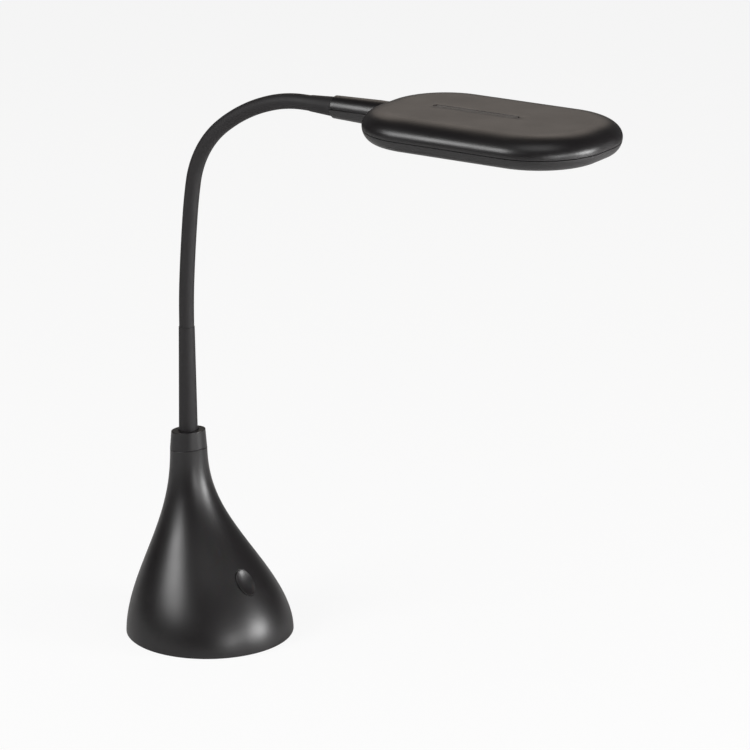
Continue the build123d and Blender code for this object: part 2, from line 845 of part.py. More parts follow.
def socket_half(side):
    """Half of the clamshell socket: side +1 is above the seam, -1 below it."""
    lengthwise = Plane(
        origin=head_axis.origin, x_dir=head_axis.x_dir * side, z_dir=head_axis.y_dir * -side
    )
    mouth_bore = upper_boot_root_radius + thread_play
    ferrule_bore = ferrule_radius + 2 * thread_play
    groove = upper_flange_radius + 2 * thread_play
    groove_start = upper_flange_place - seat_play
    groove_end = upper_flange_place + ferrule_flange_thickness + seat_play
    bore_end = upper_ferrule_end + seat_play
    outline = [
        (mouth_bore, socket_reach),
        (socket_mouth_radius - socket_chamfer, socket_reach),
        (socket_mouth_radius, socket_reach + socket_chamfer),
        (socket_root_radius, head_rear),
        (socket_root_radius, shoulder_end),
        (tongue_radius, shoulder_end),
        (tongue_radius, tongue_end),
        (ferrule_bore_radius, tongue_end),
        (ferrule_bore_radius, bore_end),
        (ferrule_bore, bore_end),
        (ferrule_bore, groove_end),
        (groove, groove_end),
        (groove, groove_start),
        (ferrule_bore, groove_start),
        (ferrule_bore, boot_end + seat_play),
        (mouth_bore, boot_end + seat_play),
    ]
    with BuildSketch(lengthwise) as section:
        Polygon(*outline, align=None)
    revolve(section.sketch, axis=Axis(head_axis.origin, head_axis.z_dir), revolution_arc=180)
    with BuildSketch(head_axis.offset(head_rear + ear_place)) as ears:
        with Locations((0, side * ear_height / 2)):
            Rectangle(2 * ear_reach, ear_height)
        Circle(tongue_radius, mode=Mode.SUBTRACT)
    extrude(ears.sketch, amount=ear_thickness)


def socket_screw_spots():
    return GridLocations(2 * socket_screw_offset, 1, 2, 1)


socket_seam = Plane(
    origin=head_axis.offset((shoulder_end + tongue_end) / 2).origin,
    x_dir=head_axis.x_dir,
    z_dir=-head_axis.y_dir,
)

with BuildPart() as socket_upper:
    socket_half(1)
    with BuildSketch(socket_seam):
        with socket_screw_spots():
            Circle(socket_screw_radius + thread_play)
    extrude(amount=-socket_screw_bite - seat_play, mode=Mode.SUBTRACT)
save(socket_upper, "socket_upper")

with BuildPart() as socket_lower:
    socket_half(-1)
    with BuildSketch(socket_seam):
        with socket_screw_spots():
            Circle(socket_screw_radius + free_play)
    extrude(amount=tongue_radius, mode=Mode.SUBTRACT)
    with BuildSketch(socket_seam.offset(socket_screw_seat)):
        with socket_screw_spots():
            Circle(2 * socket_screw_radius + free_play)
    extrude(amount=tongue_radius, mode=Mode.SUBTRACT)
save(socket_lower, "socket_lower")

with BuildPart() as socket_screws:
    with Locations(socket_seam.offset(socket_screw_seat + socket_screw_head_height)):
        with socket_screw_spots():
            pan_screw(
                socket_screw_seat + socket_screw_bite,
                socket_screw_radius,
                2 * socket_screw_radius,
                socket_screw_head_height,
            )
save(socket_screws, "socket_screws")

# ---------------------------------------------------------------- head: covers
corner_x = head_length / 2 - head_corner
corner_y = head_width / 2 - head_corner
inner_ceiling = head_top_height - head_wall
inner_floor = -(head_bottom_depth - head_wall)


def inset_at(depth, rim_inset, rim_depth):
    """How far a quarter-ellipse rim has moved in at a depth from its widest line."""
    return rim_inset * (1 - sqrt(1 - (depth / rim_depth) ** 2))


def depth_at(inset, rim_inset, rim_depth):
    """How far a quarter-ellipse rim stands from its widest line at an inset."""
    return rim_depth * sqrt(1 - (1 - inset / rim_inset) ** 2)


def top_profile(plane):
    """Rounded rim of the top cover: quarter ellipses outside and inside, a short skirt below."""
    core = head_corner - top_rim_inset
    skirt = head_corner - inset_at(seam_drop, bottom_rim_inset, head_bottom_depth)
    with BuildSketch(plane) as section:
        with BuildLine():
            rim = EllipticalCenterArc((core, 0), top_rim_inset, head_top_height, arc_size=90)
            inside = EllipticalCenterArc((core, 0), top_rim_inset - head_wall, inner_ceiling, arc_size=90)
            Line(rim @ 1, inside @ 1)
            Polyline(inside @ 0, (head_corner - head_wall, -seam_drop), (skirt, -seam_drop), rim @ 0)
        make_face()
    return section.sketch


def bottom_profile(plane):
    """Rounded rim of the bottom cover, its flat bezel and the lip that locates the top cover."""
    core = head_corner - bottom_rim_inset
    start = seam_drop + seam_gap
    window = head_corner - window_inset
    outer_angle = degrees(asin(start / head_bottom_depth))
    inner_angle = degrees(asin(start / -inner_floor))
    with BuildSketch(plane) as section:
        with BuildLine():
            rim = EllipticalCenterArc(
                (core, 0), bottom_rim_inset, head_bottom_depth, -90, arc_size=90 - outer_angle
            )
            inside = EllipticalCenterArc(
                (core, 0), bottom_rim_inset - head_wall, -inner_floor, -90, arc_size=90 - inner_angle
            )
            Line(rim @ 1, inside @ 1)
            Polyline(rim @ 0, (window, -head_bottom_depth), (window, inner_floor), inside @ 0)
        make_face()
        with Locations((head_corner - lip_inset - lip_wall / 2, -start + (lip_rise - lip_root) / 2)):
            Rectangle(lip_wall, lip_rise + lip_root)
    return section.sketch


def carry_round(profile):
    """Carries a profile all round the head; its x runs outward from a corner's centre."""
    corner = head_frame.from_local_coords(Vector(corner_x, corner_y, 0))
    along_side = Plane(origin=corner, x_dir=head_frame.y_dir, z_dir=head_frame.x_dir)
    along_end = Plane(origin=corner, x_dir=head_frame.x_dir, z_dir=-head_frame.y_dir)
    revolve(profile(along_side), axis=Axis(corner, -head_frame.z_dir), revolution_arc=90)
    extrude(profile(along_side), amount=-corner_x)
    extrude(profile(along_end), amount=corner_y)
    mirror(about=Plane(origin=head_frame.origin, z_dir=head_frame.x_dir))
    mirror(about=Plane(origin=head_frame.origin, z_dir=head_frame.y_dir))


def socket_opening():
    """Round opening through the rear rim for the socket's root."""
    opening = ring(head_axis.offset(socket_reach), socket_root_radius + socket_gap)
    extrude(opening, amount=socket_length + socket_shoulder + 2 * socket_gap, mode=Mode.SUBTRACT)


def head_screw_spots():
    """On the corners' diagonals, at the screws' inset from the outline."""
    reach = (head_corner - head_screw_inset) * sqrt(0.5)
    return GridLocations(2 * (corner_x + reach), 2 * (corner_y + reach), 2, 2)


def post_spots():
    return GridLocations(2 * led_post_x, 2 * led_post_y, 2, 2)


def slot_spot():
    return Locations((slot_shift, 0))


boss_foot = inner_floor + 3 * seat_play
boss_top = depth_at(head_screw_inset - head_boss_radius, top_rim_inset, head_top_height) - head_wall / 4
led_board_top = led_board_height + board_thickness
spreader_top = led_board_top + spreader_thickness

with BuildPart() as head_top_cover:
    carry_round(top_profile)
    with BuildSketch(head_level(inner_ceiling)):
        head_oval(top_rim_inset)
    extrude(amount=head_wall)
    with BuildSketch(head_level(boss_foot)):
        with head_screw_spots():
            Circle(head_boss_radius)
    extrude(amount=boss_top - boss_foot)
    with BuildSketch(head_level(spreader_top)):
        with post_spots():
            Circle(led_post_radius)
    extrude(amount=inner_ceiling + head_wall / 2 - spreader_top)
    socket_opening()
    with BuildSketch(head_level(inner_ceiling)):
        with slot_spot():
            SlotOverall(slot_length, slot_width)
    extrude(amount=head_wall, mode=Mode.SUBTRACT)
    with BuildSketch(head_level(boss_foot)):
        with head_screw_spots():
            Circle(head_screw_radius + thread_play)
    extrude(amount=boss_top - boss_foot - head_wall, mode=Mode.SUBTRACT)
    with BuildSketch(head_level(spreader_top)):
        with post_spots():
            Circle(led_screw_radius + thread_play)
    extrude(amount=inner_ceiling - spreader_top, mode=Mode.SUBTRACT)
save(head_top_cover, "head_top_cover")

strip_foot = inner_ceiling - seat_play
strip_top = head_top_height - slot_depth_below_top
with BuildPart() as slot_insert:
    with BuildSketch(head_level(strip_foot)):
        with slot_spot():
            SlotOverall(slot_length - 2 * slot_gap, slot_width - 2 * slot_gap)
    extrude(amount=strip_top - strip_foot)
    with BuildSketch(head_level(strip_foot)):
        with slot_spot():
            SlotOverall(slot_length + 2 * slot_flange, slot_width + 2 * slot_flange)
    extrude(amount=-slot_flange_thickness)
    with BuildSketch(head_level(strip_top)):
        with Locations((slot_shift - slot_length / 2 + slot_pinhole_inset, 0)):
            Circle(slot_pinhole_radius)
    extrude(amount=-slot_pinhole_depth, mode=Mode.SUBTRACT)
save(slot_insert, "slot_insert")

underside = Plane(
    origin=head_level(-head_bottom_depth).origin, x_dir=head_frame.x_dir, z_dir=-head_frame.z_dir
)
head_screw_head_height = head_wall / 2
with BuildPart() as head_bottom_cover:
    carry_round(bottom_profile)
    socket_opening()
    with Locations(underside):
        with head_screw_spots():
            Cylinder(head_screw_radius + free_play, head_wall, align=hanging, mode=Mode.SUBTRACT)
            Cylinder(
                head_screw_head + free_play, head_screw_head_height, align=hanging, mode=Mode.SUBTRACT
            )
save(head_bottom_cover, "head_bottom_cover")

with BuildPart() as head_screws:
    with Locations(underside):
        with head_screw_spots():
            pan_screw(head_screw_length, head_screw_radius, head_screw_head, head_screw_head_height)
save(head_screws, "head_screws")

# ---------------------------------------------------------------- head: light
diffuser_bottom = inner_floor + seat_play
diffuser_top = diffuser_bottom + diffuser_thickness
with BuildPart() as diffuser:
    with BuildSketch(head_level(diffuser_bottom)):
        head_oval(window_inset - diffuser_flange)
    extrude(amount=diffuser_thickness)
    with BuildSketch(head_level(-head_bottom_depth + diffuser_recess)):
        head_oval(window_inset + free_play)
    extrude(amount=head_wall - diffuser_recess + seat_play)
save(diffuser, "diffuser")

reflector_foot = diffuser_top + seat_play
reflector_top = led_board_height - seat_play
with BuildPart() as reflector:
    with BuildSketch(head_level(reflector_foot)):
        head_oval(window_inset)
    with BuildSketch(head_level(reflector_top)):
        head_oval(led_board_inset)
    loft()
    with BuildSketch(head_level(reflector_foot)):
        head_oval(window_inset + reflector_wall)
    with BuildSketch(head_level(reflector_top)):
        head_oval(led_board_inset + reflector_wall)
    loft(mode=Mode.SUBTRACT)
save(reflector, "reflector")

with BuildPart() as led_board:
    with BuildSketch(head_level(led_board_height)):
        head_oval(led_board_inset)
        with post_spots():
            Circle(led_screw_radius + free_play, mode=Mode.SUBTRACT)
        with Locations((led_board_inset + led_board_notch_depth / 2 - head_length / 2, 0)):
            Rectangle(led_board_notch_depth, led_board_notch, mode=Mode.SUBTRACT)
    extrude(amount=board_thickness)
save(led_board, "led_board")

with BuildPart() as leds:
    with BuildSketch(head_level(led_board_height)):
        with GridLocations(led_pitch_x, led_pitch_y, led_columns, led_rows):
            Rectangle(led_length, led_width)
    extrude(amount=-led_thickness)
save(leds, "leds")

with BuildPart() as heat_spreader:
    with BuildSketch(head_level(led_board_top)):
        head_oval(spreader_inset)
        with Locations((spreader_inset + spreader_rear_room / 2 - head_length / 2, 0)):
            Rectangle(spreader_rear_room, head_width, mode=Mode.SUBTRACT)
        with post_spots():
            Circle(led_screw_radius + free_play, mode=Mode.SUBTRACT)
    extrude(amount=spreader_thickness)
save(heat_spreader, "heat_spreader")

board_underside = Plane(
    origin=head_level(led_board_height).origin, x_dir=head_frame.x_dir, z_dir=-head_frame.z_dir
)
with BuildPart() as led_screws:
    with Locations(board_underside.offset(led_screw_head_height)):
        with post_spots():
            pan_screw(led_screw_length, led_screw_radius, led_screw_head, led_screw_head_height)
save(led_screws, "led_screws")

connector_rear = head_connector_place - head_length / 2
with BuildPart() as head_connector:
    with BuildSketch(head_level(led_board_top)):
        with Locations((connector_rear + head_connector_length / 2, 0)):
            Rectangle(head_connector_length, led_board_notch)
    extrude(amount=head_connector_height)
save(head_connector, "head_connector")


# ---------------------------------------------------------------- leads held inside the lamp
def board_plug(x, distance):
    """Point in line with a socket on the board's back, a distance beyond its upper end."""
    level = board_plug_y - board_plug_length / 2 - distance
    return behind_board.from_local_coords(Vector(x, level, board_plug_height / 2))


def in_head(from_rear, height):
    return head_frame.from_local_coords(Vector(from_rear - head_length / 2, 0, height))


lead_level = led_board_top + head_connector_height / 2
lead_level_start = head_connector_place - head_lead_stub_length
with BuildLine() as neck_route:
    FilletPolyline(
        board_plug(neck_plug_x, 0),
        board_plug(neck_plug_x, lead_stub_length),
        (0, throat_offset - neck_lead_swing_offset, ferrule_bottom - neck_lead_swing_drop),
        (0, throat_offset, ferrule_bottom - neck_lead_entry_drop),
        (0, throat_offset, first_pivot_height),
        radius=[neck_lead_stub_bend, neck_lead_swing_bend, neck_lead_entry_bend],
    )
    for index, bend in enumerate(link_bends):
        start, end = pivots[index], pivots[index + 1]
        radius, half = link_length / radians(bend), radians(bend / 2)
        inward, onward = start.y_dir * (radius * (cos(half) - 1)), start.z_dir * (radius * sin(half))
        ThreePointArc(start.origin, start.origin + inward + onward, end.origin)
    FilletPolyline(
        head_axis.origin,
        in_head(lead_level_start - head_lead_rise_length, 0),
        in_head(lead_level_start, lead_level),
        in_head(head_connector_place, lead_level),
        radius=[head_lead_bend, head_lead_bend],
    )

with BuildLine() as jack_route:
    FilletPolyline(
        board_plug(jack_plug_x, 0),
        board_plug(jack_plug_x, lead_stub_length),
        (0.8 * jack_plug_x, jack_lead_crest_reach, jack_lead_crest_height),
        (0.4 * jack_plug_x, jack_lead_slope_reach, jack_lead_slope_height),
        (0, jack_lead_y, jack_lead_drop_height),
        (0, jack_lead_y, jack_height + jack_exit_height),
        radius=[jack_lead_stub_bend, jack_lead_bend, jack_lead_bend, jack_lead_drop_bend],
    )


def lead(route, radius):
    path = route.wires()[0]
    sweep(ring(Plane(origin=path @ 0, z_dir=path % 0), radius), path=path)


with BuildPart() as neck_lead:
    lead(neck_route, lead_radius)
save(neck_lead, "neck_lead")

with BuildPart() as jack_lead:
    lead(jack_route, jack_lead_radius)
save(jack_lead, "jack_lead")

for name, route, radius in (
    ("neck_lead", neck_route, lead_radius),
    ("jack_lead", jack_route, jack_lead_radius),
):
    arcs = [round(edge.radius, 1) for edge in route.edges().filter_by(GeomType.CIRCLE)]
    length = route.wires()[0].length
    print(name, "diameter", 2 * radius, "length", round(length, 1), "arc radii", arcs)
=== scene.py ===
"""Gooseneck desk lamp: the finished look of every visible piece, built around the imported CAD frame.

Everything is in metres, in the frame's own axes: origin under the middle of the base, +Z up,
the push button on the -Y side. Run it as a script; it is laid out like an add-on so that each
piece can be rebuilt from its own operator.
"""

import json
from math import cos, pi, radians, sin, tan

import bmesh
import bpy
import numpy as np
from bpy.props import FloatProperty, FloatVectorProperty, PointerProperty
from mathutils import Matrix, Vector


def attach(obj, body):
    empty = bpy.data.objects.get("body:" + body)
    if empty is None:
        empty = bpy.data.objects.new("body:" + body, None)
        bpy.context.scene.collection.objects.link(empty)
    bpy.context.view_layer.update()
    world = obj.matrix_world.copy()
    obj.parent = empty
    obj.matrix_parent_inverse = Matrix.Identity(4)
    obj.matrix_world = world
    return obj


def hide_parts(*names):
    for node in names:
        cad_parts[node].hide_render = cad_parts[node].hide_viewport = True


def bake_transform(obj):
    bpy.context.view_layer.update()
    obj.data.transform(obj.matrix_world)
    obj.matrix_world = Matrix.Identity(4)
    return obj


bl_info = {
    "name": "Gooseneck desk lamp",
    "version": (1, 0, 0),
    "blender": (4, 5, 0),
    "location": "View3D > Sidebar > Lamp",
    "description": "Builds the visible pieces of a gooseneck desk lamp round its CAD frame",
    "category": "Object",
}

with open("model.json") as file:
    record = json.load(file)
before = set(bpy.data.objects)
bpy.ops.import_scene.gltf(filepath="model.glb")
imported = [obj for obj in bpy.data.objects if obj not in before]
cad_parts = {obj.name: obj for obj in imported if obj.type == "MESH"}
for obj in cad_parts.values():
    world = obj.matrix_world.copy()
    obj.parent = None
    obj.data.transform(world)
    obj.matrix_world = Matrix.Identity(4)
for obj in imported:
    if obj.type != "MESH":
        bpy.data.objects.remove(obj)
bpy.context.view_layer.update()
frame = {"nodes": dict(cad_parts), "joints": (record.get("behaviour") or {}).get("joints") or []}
NODES = frame["nodes"]
MM = 0.001


# ---------------------------------------------------------------- sizes and colours
def length(name, millimetres, description):
    return FloatProperty(
        name=name, description=description, default=millimetres * MM, unit="LENGTH", subtype="DISTANCE"
    )


def rotation(name, degrees, description):
    return FloatProperty(name=name, description=description, default=radians(degrees), unit="ROTATION")


def number(name, value, description):
    return FloatProperty(name=name, description=description, default=value)


def linear(code):
    """Scene-linear colour of an sRGB hex code."""
    srgb = np.array([int(code[i : i + 2], 16) for i in (0, 2, 4)]) / 255
    value = np.where(srgb <= 0.04045, srgb / 12.92, ((srgb + 0.055) / 1.055) ** 2.4)
    return tuple(float(v) for v in value)


def colour(name, code, description):
    return FloatVectorProperty(
        name=name, description=description, default=linear(code), size=3, subtype="COLOR", min=0, max=1
    )


class LampSizes(bpy.types.PropertyGroup):
    """Sizes of the visible pieces, as the CAD frame has them."""

    base_radius: length("Base radius", 61.0, "Radius of the bell's foot")
    bell_height: length("Bell height", 145.5, "Height at which the bell would reach its throat radius")
    bell_fullness: number("Bell fullness", 1.88, "Keeps the foot fat for longer")
    bell_flare: number("Bell flare", 3.26, "Pinches the throat sooner")
    throat_radius: length("Throat radius", 13.4, "Radius of the bell's throat")
    throat_offset: length("Throat offset", 20.3, "How far the throat stands behind the base's centre")
    rim_lift: length("Rim lift", 0.3, "Gap between the bell's rim and the desk")
    base_wall: length("Base wall", 2.5, "Wall of the bell")
    seam_height: length("Seam height", 134.6, "Where the collar sits on the bell")
    seam_tilt: rotation("Seam tilt", 5.75, "Fall of the collar's faces to the rear")
    collar_height: length("Collar height", 13.7, "Height of the collar at the throat's axis")
    collar_top_radius: length("Collar top radius", 12.35, "Radius of the collar's top")
    collar_bore: length("Collar bore", 7.37, "Radius of the collar's mouth round the boot")
    spigot_radius: length("Spigot radius", 10.0, "Radius of the collar's spigot inside the bell")
    spigot_length: length("Spigot length", 3.5, "How deep the collar's spigot goes into the bell")

    button_height: length("Button height", 46.1, "Height of the button on the front slope")
    button_half_width: length("Button half width", 7.3, "Half of the button's width")
    button_half_length: length("Button half length", 10.1, "Half of the button's length up the slope")
    button_gap: length("Button gap", 0.2, "Gap round the button")
    button_proud: length("Button proud", 0.3, "How far the button's rim stands above the slope")
    button_rim: length("Button rim", 0.15, "Flat land round the button's dish")
    button_dish: length("Button dish", 1.9, "Depth of the button's dish")
    button_roundness: number("Button roundness", 0.6, "Nearer 0 makes the dish's edge steeper")
    button_lip: length("Button lip", 1.2, "Flange that keeps the button in")
    button_lip_depth: length("Button lip depth", 3.6, "How deep the flange lies under the slope")

    plug_depth: length("Plug depth", 20.6, "How deep under the button the neck's lead is plugged in")
    plug_rise: length("Plug rise", 11.25, "How far up the slope from the button that plug is")
    plug_shift: length("Plug shift", -1.0, "How far to the side of the button that plug is")
    inlet_height: length("Inlet height", 13.0, "Height of the power inlet's axis")
    inlet_opening: length("Inlet opening", 5.85, "Radius of the seat for the power inlet")

    sleeve_radius: length("Sleeve radius", 5.4, "Outside of the neck's soft sleeve")
    sleeve_bore: length("Sleeve bore", 4.7, "Inside of the sleeve")
    hose_radius: length("Hose radius", 4.2, "Outside of the wound steel hose")
    hose_bore: length("Hose bore", 3.0, "Inside of the wound steel hose")
    hose_pitch: length("Hose pitch", 2.2, "From one turn of the hose's winding to the next")
    lead_radius: length("Lead radius", 1.6, "Radius of the lead inside the neck")
    sleeve_foot: length("Sleeve foot", 150.3, "Height at which the sleeve begins")
    hose_foot: length("Hose foot", 142.3, "Height at which the hose begins")
    sleeve_end: length("Sleeve end", 24.0, "How far the sleeve runs past the last pivot")
    hose_end: length("Hose end", 32.0, "How far the hose runs past the last pivot")

    boot_bottom: length("Lower boot bottom", 140.3, "Height of the lower boot's hidden end")
    boot_top: length("Lower boot top", 226.0, "Height of the lower boot's upper end")
    boot_base_radius: length("Lower boot base radius", 6.92, "Radius of the lower boot at its foot")
    boot_tip_radius: length("Lower boot tip radius", 5.75, "Radius of the lower boot at its top")
    boot_bore: length("Boot bore", 5.45, "Inside of both boots")
    upper_boot_start: length("Upper boot start", 6.2, "From the last pivot to the upper boot")
    upper_boot_end: length("Upper boot end", 32.0, "From the last pivot to the upper boot's hidden end")
    upper_boot_tip: length("Upper boot tip radius", 5.7, "Radius of the upper boot's thin end")
    upper_boot_root: length("Upper boot root radius", 6.85, "Radius of the upper boot in the socket")

    socket_reach: length("Socket reach", 25.4, "From the last pivot to the socket's mouth")
    socket_length: length("Socket length", 36.3, "From the socket's mouth to the head's rear edge")
    socket_mouth: length("Socket mouth radius", 7.95, "Radius of the socket at its mouth")
    socket_root: length("Socket root radius", 9.05, "Radius of the socket at the head")
    socket_chamfer: length("Socket chamfer", 0.9, "Bevel of the socket's mouth")
    socket_shoulder: length("Socket shoulder", 9.0, "Full-width stretch of the socket inside the head")
    socket_tongue: length("Socket tongue", 15.0, "All of the socket inside the head")
    socket_gap: length("Socket gap", 0.45, "Gap between the socket and the head")
    socket_groove: length("Socket groove", 0.6, "Width and depth of the groove along the socket's seam")
    seam_notch: length("Seam notch", 0.9, "Radius of the notch where that seam meets the head")

    head_length: length("Head length", 177.0, "Length of the head's outline")
    head_width: length("Head width", 113.0, "Width of the head's outline")
    head_corner: length("Head corner", 48.3, "Corner radius of the head's outline")
    head_top: length("Head top", 11.4, "Height of the head above its widest line")
    head_bottom: length("Head bottom", 10.4, "Depth of the head below its widest line")
    top_rim: length("Top rim", 18.5, "How far in the rounded upper rim reaches")
    bottom_rim: length("Bottom rim", 8.9, "How far in the rounded lower rim reaches")
    head_wall: length("Head wall", 2.0, "Wall of the head's covers")
    seam_drop: length("Seam drop", 2.0, "How far below the widest line the covers meet")
    seam_gap: length("Seam gap", 0.35, "Gap between the covers")
    lip_inset: length("Lip inset", 2.5, "From the outline to the lip that locates the covers")
    lip_wall: length("Lip wall", 1.2, "Thickness of that lip")
    lip_rise: length("Lip rise", 2.6, "Height of that lip above the seam")
    window_inset: length("Window inset", 18.0, "From the outline to the light's window")
    screw_inset: length("Screw inset", 11.0, "From the outline to the head's screws")
    screw_head: length("Screw head", 2.8, "Radius of the seats for the head's screws")

    slot_length: length("Slot length", 66.5, "Length of the slot in the head's top")
    slot_width: length("Slot width", 4.8, "Width of the slot")
    slot_shift: length("Slot shift", -11.9, "The slot's middle from the head's centre")
    strip_gap: length("Strip gap", 0.9, "Gap between the slot and the strip in it")
    strip_drop: length("Strip drop", 0.1, "How far the strip lies below the top")
    pinhole_radius: length("Pinhole radius", 0.95, "Radius of the small hole at the strip's rear end")
    pinhole_inset: length("Pinhole inset", 1.45, "From the slot's tip to that hole's middle")

    camera_azimuth: rotation("Camera azimuth", -44.9, "Direction from the front")
    camera_elevation: rotation("Camera elevation", 17.487, "Angle above the horizon")
    camera_distance: length("Camera distance", 2628.5, "From the camera to the point that it looks at")


class LampColours(bpy.types.PropertyGroup):
    """Colours of the finishes that a user would change."""

    housing: colour("Housing", "191718", "Moulded plastic of the bell, collar, socket and head")
    housing_light: colour("Housing fleck", "242122", "Lighter flecks in the housing's plastic")
    sleeve: colour("Sleeve", "211f20", "Soft sleeve and boots")
    button: colour("Button", "1f1d1e", "Push button")
    strip: colour("Strip", "1b191a", "Strip in the head's slot")
    diffuser: colour("Diffuser", "eceae4", "Opal window under the light")
    floor: colour("Floor", "f4f4f4", "Floor of the studio")


def sizes():
    return bpy.context.scene.lamp_sizes


def tints():
    return bpy.context.scene.lamp_colours


# ---------------------------------------------------------------- finishes
BROAD_GRAIN = 28 * MM
# name: dark and light tint, lowest and highest roughness, grain and relief in mm, share of the
# light tint, shader inputs and, where the grain is drawn out, its squeeze along each axis
FINISHES = {
    # ABS moulded in a fine-sparked tool: satin black, broad soft highlights, tiny pale flecks.
    # The grain is drawn at 0.5 mm, coarser than the real 0.1 mm, so that it shows.
    "satin_abs": ("housing", "housing_light", (0.34, 0.39), 0.5, 0.012, 0.35, {"IOR": 1.53}),
    # Extruded silicone sleeve and moulded boots: dull, with the faint drag lines of the die.
    "silicone": ("sleeve", "2c2a2b", (0.56, 0.66), 0.6, 0.02, 0.35, {"IOR": 1.43}, (1, 1, 0.4)),
    # ABS button from a smoother tool: a little shinier than the housing.
    "button_abs": ("button", "292728", (0.34, 0.4), 0.4, 0.008, 0.35, {"IOR": 1.53}),
    # Black polycarbonate strip, moulded in a tool sparked like the housing's: it reads as one
    # surface with the head but for the fine gap round it.
    "strip_polycarbonate": ("strip", "housing_light", (0.34, 0.39), 0.5, 0.01, 0.35, {"IOR": 1.55}),
    # Closed-cell EVA foam: fine pores, no gloss.
    "eva_foam": ("1b1b1c", "3a3a3b", (0.85, 0.95), 0.7, 0.12, 0.8, {}),
    # Zinc-plated steel wound or turned: cool grey with drawn lines.
    "zinc_steel": ("a4a6a8", "c6c7c8", (0.26, 0.38), 0.35, 0.01, 0.9, {"Metallic": 1.0}, (1, 1, 0.2)),
    # Steel pressed and phosphated black: dark grey, slightly speckled.
    "phosphated_steel": ("3b3b3c", "5a5a5b", (0.42, 0.55), 0.5, 0.015, 0.7, {"Metallic": 1.0}),
    # Cast iron as cast: coarse grain.
    "cast_iron": ("4a4846", "74706c", (0.6, 0.8), 1.2, 0.12, 0.8, {"Metallic": 1.0}),
    # Solder mask over glass-fibre board: glossy lacquer with the weave just showing.
    "green_solder_mask": ("14502f", "1d6a3f", (0.26, 0.34), 0.9, 0.01, 0.6, {"IOR": 1.5}),
    "white_solder_mask": ("e6e6e2", "f1f1ee", (0.3, 0.38), 0.9, 0.01, 0.6, {"IOR": 1.5}),
    # Nylon and epoxy bodies of connectors, capacitors and switches.
    "component_nylon": ("262626", "3a3a3a", (0.45, 0.55), 0.5, 0.01, 0.6, {"IOR": 1.53}),
    # Phosphor-filled silicone over each LED: yellow and matt.
    "phosphor_silicone": ("e6c45a", "f0d98a", (0.5, 0.6), 0.4, 0.01, 0.6, {"IOR": 1.43}),
    # Sheet aluminium, rolled: fine lines along the head.
    "rolled_aluminium": ("b9bbbd", "d2d3d4", (0.28, 0.4), 0.5, 0.01, 0.9, {"Metallic": 1.0}, (0.15, 1, 1)),
    # Micro-foamed white PET reflector: dead white and matt.
    "white_pet": ("e9e9e6", "f4f4f2", (0.7, 0.8), 0.8, 0.01, 0.6, {"IOR": 1.57}),
    # Opal acrylic, satin on its outside: milky, lets light through.
    "opal_acrylic": (
        "diffuser", "f6f5f1", (0.3, 0.36), 0.9, 0.006, 0.6,
        {"IOR": 1.49, "Subsurface Weight": 0.6, "Subsurface Scale": 0.004},
    ),
    # PVC insulation: smooth and slightly shiny.
    "pvc_lead": ("1a1a1b", "262627", (0.36, 0.44), 0.6, 0.01, 0.35, {"IOR": 1.53}),
    # Nylon of the power inlet.
    "inlet_nylon_and_nickel": ("1c1b1c", "2a2929", (0.4, 0.48), 0.4, 0.01, 0.35, {"IOR": 1.53}),
}


def add_node(tree, kind, values=(), links=(), **settings):
    """Adds a shader node with its settings, its input values and its links."""
    node = tree.nodes.new("ShaderNode" + kind)
    for key, value in settings.items():
        setattr(node, key, value)
    for key, value in dict(values).items():
        node.inputs[key].default_value = value
    for key, source in dict(links).items():
        tree.links.new(source, node.inputs[key])
    return node


def bare_tree(owner):
    """Empty node tree of a new material or world."""
    owner.use_nodes = True
    owner.node_tree.nodes.clear()
    return owner.node_tree


def tint_of(code):
    """One of the user's colours by its name, or else the colour of a hex code."""
    return tuple(getattr(tints(), code)) if hasattr(tints(), code) else linear(code)


def finish(name, dark, light, rough, grain, relief, mottle, shader, stretch=(1, 1, 1)):
    """Material whose colour drifts between two tints and whose roughness and relief follow a
    grain of a real size."""
    material = bpy.data.materials.new(name)
    tree = bare_tree(material)
    place = add_node(tree, "TexCoord").outputs["Object"]
    scaled = add_node(tree, "Mapping", {"Scale": stretch}, {"Vector": place})
    fine = add_node(
        tree,
        "TexNoise",
        {"Scale": 1 / (grain * MM), "Detail": 3.0, "Roughness": 0.6},
        {"Vector": scaled.outputs["Vector"]},
    )
    broad = add_node(tree, "TexNoise", {"Scale": 1 / BROAD_GRAIN, "Detail": 2.0}, {"Vector": place})
    fleck = add_node(
        tree,
        "MapRange",
        {"From Min": 0.42, "From Max": 0.78, "To Min": 0.0, "To Max": mottle},
        {"Value": fine.outputs["Fac"]},
    )
    tint = add_node(
        tree,
        "Mix",
        {"A": (*tint_of(dark), 1), "B": (*tint_of(light), 1)},
        {"Factor": fleck.outputs["Result"]},
        data_type="RGBA",
    )
    dull = add_node(
        tree,
        "MapRange",
        {"From Min": 0.3, "From Max": 0.7, "To Min": rough[0], "To Max": rough[1]},
        {"Value": broad.outputs["Fac"]},
    )
    bump = add_node(tree, "Bump", {"Strength": 0.6, "Distance": relief * MM}, {"Height": fine.outputs["Fac"]})
    surface = {
        "Base Color": tint.outputs["Result"],
        "Roughness": dull.outputs["Result"],
        "Normal": bump.outputs["Normal"],
    }
    body = add_node(tree, "BsdfPrincipled", shader, surface)
    add_node(tree, "OutputMaterial", links={"Surface": body.outputs["BSDF"]})
    return material


MADE = {}


def look(name):
    """The finish of that name, made when it is first asked for."""
    if name not in MADE:
        MADE[name] = finish(name, *FINISHES[name])
    return MADE[name]


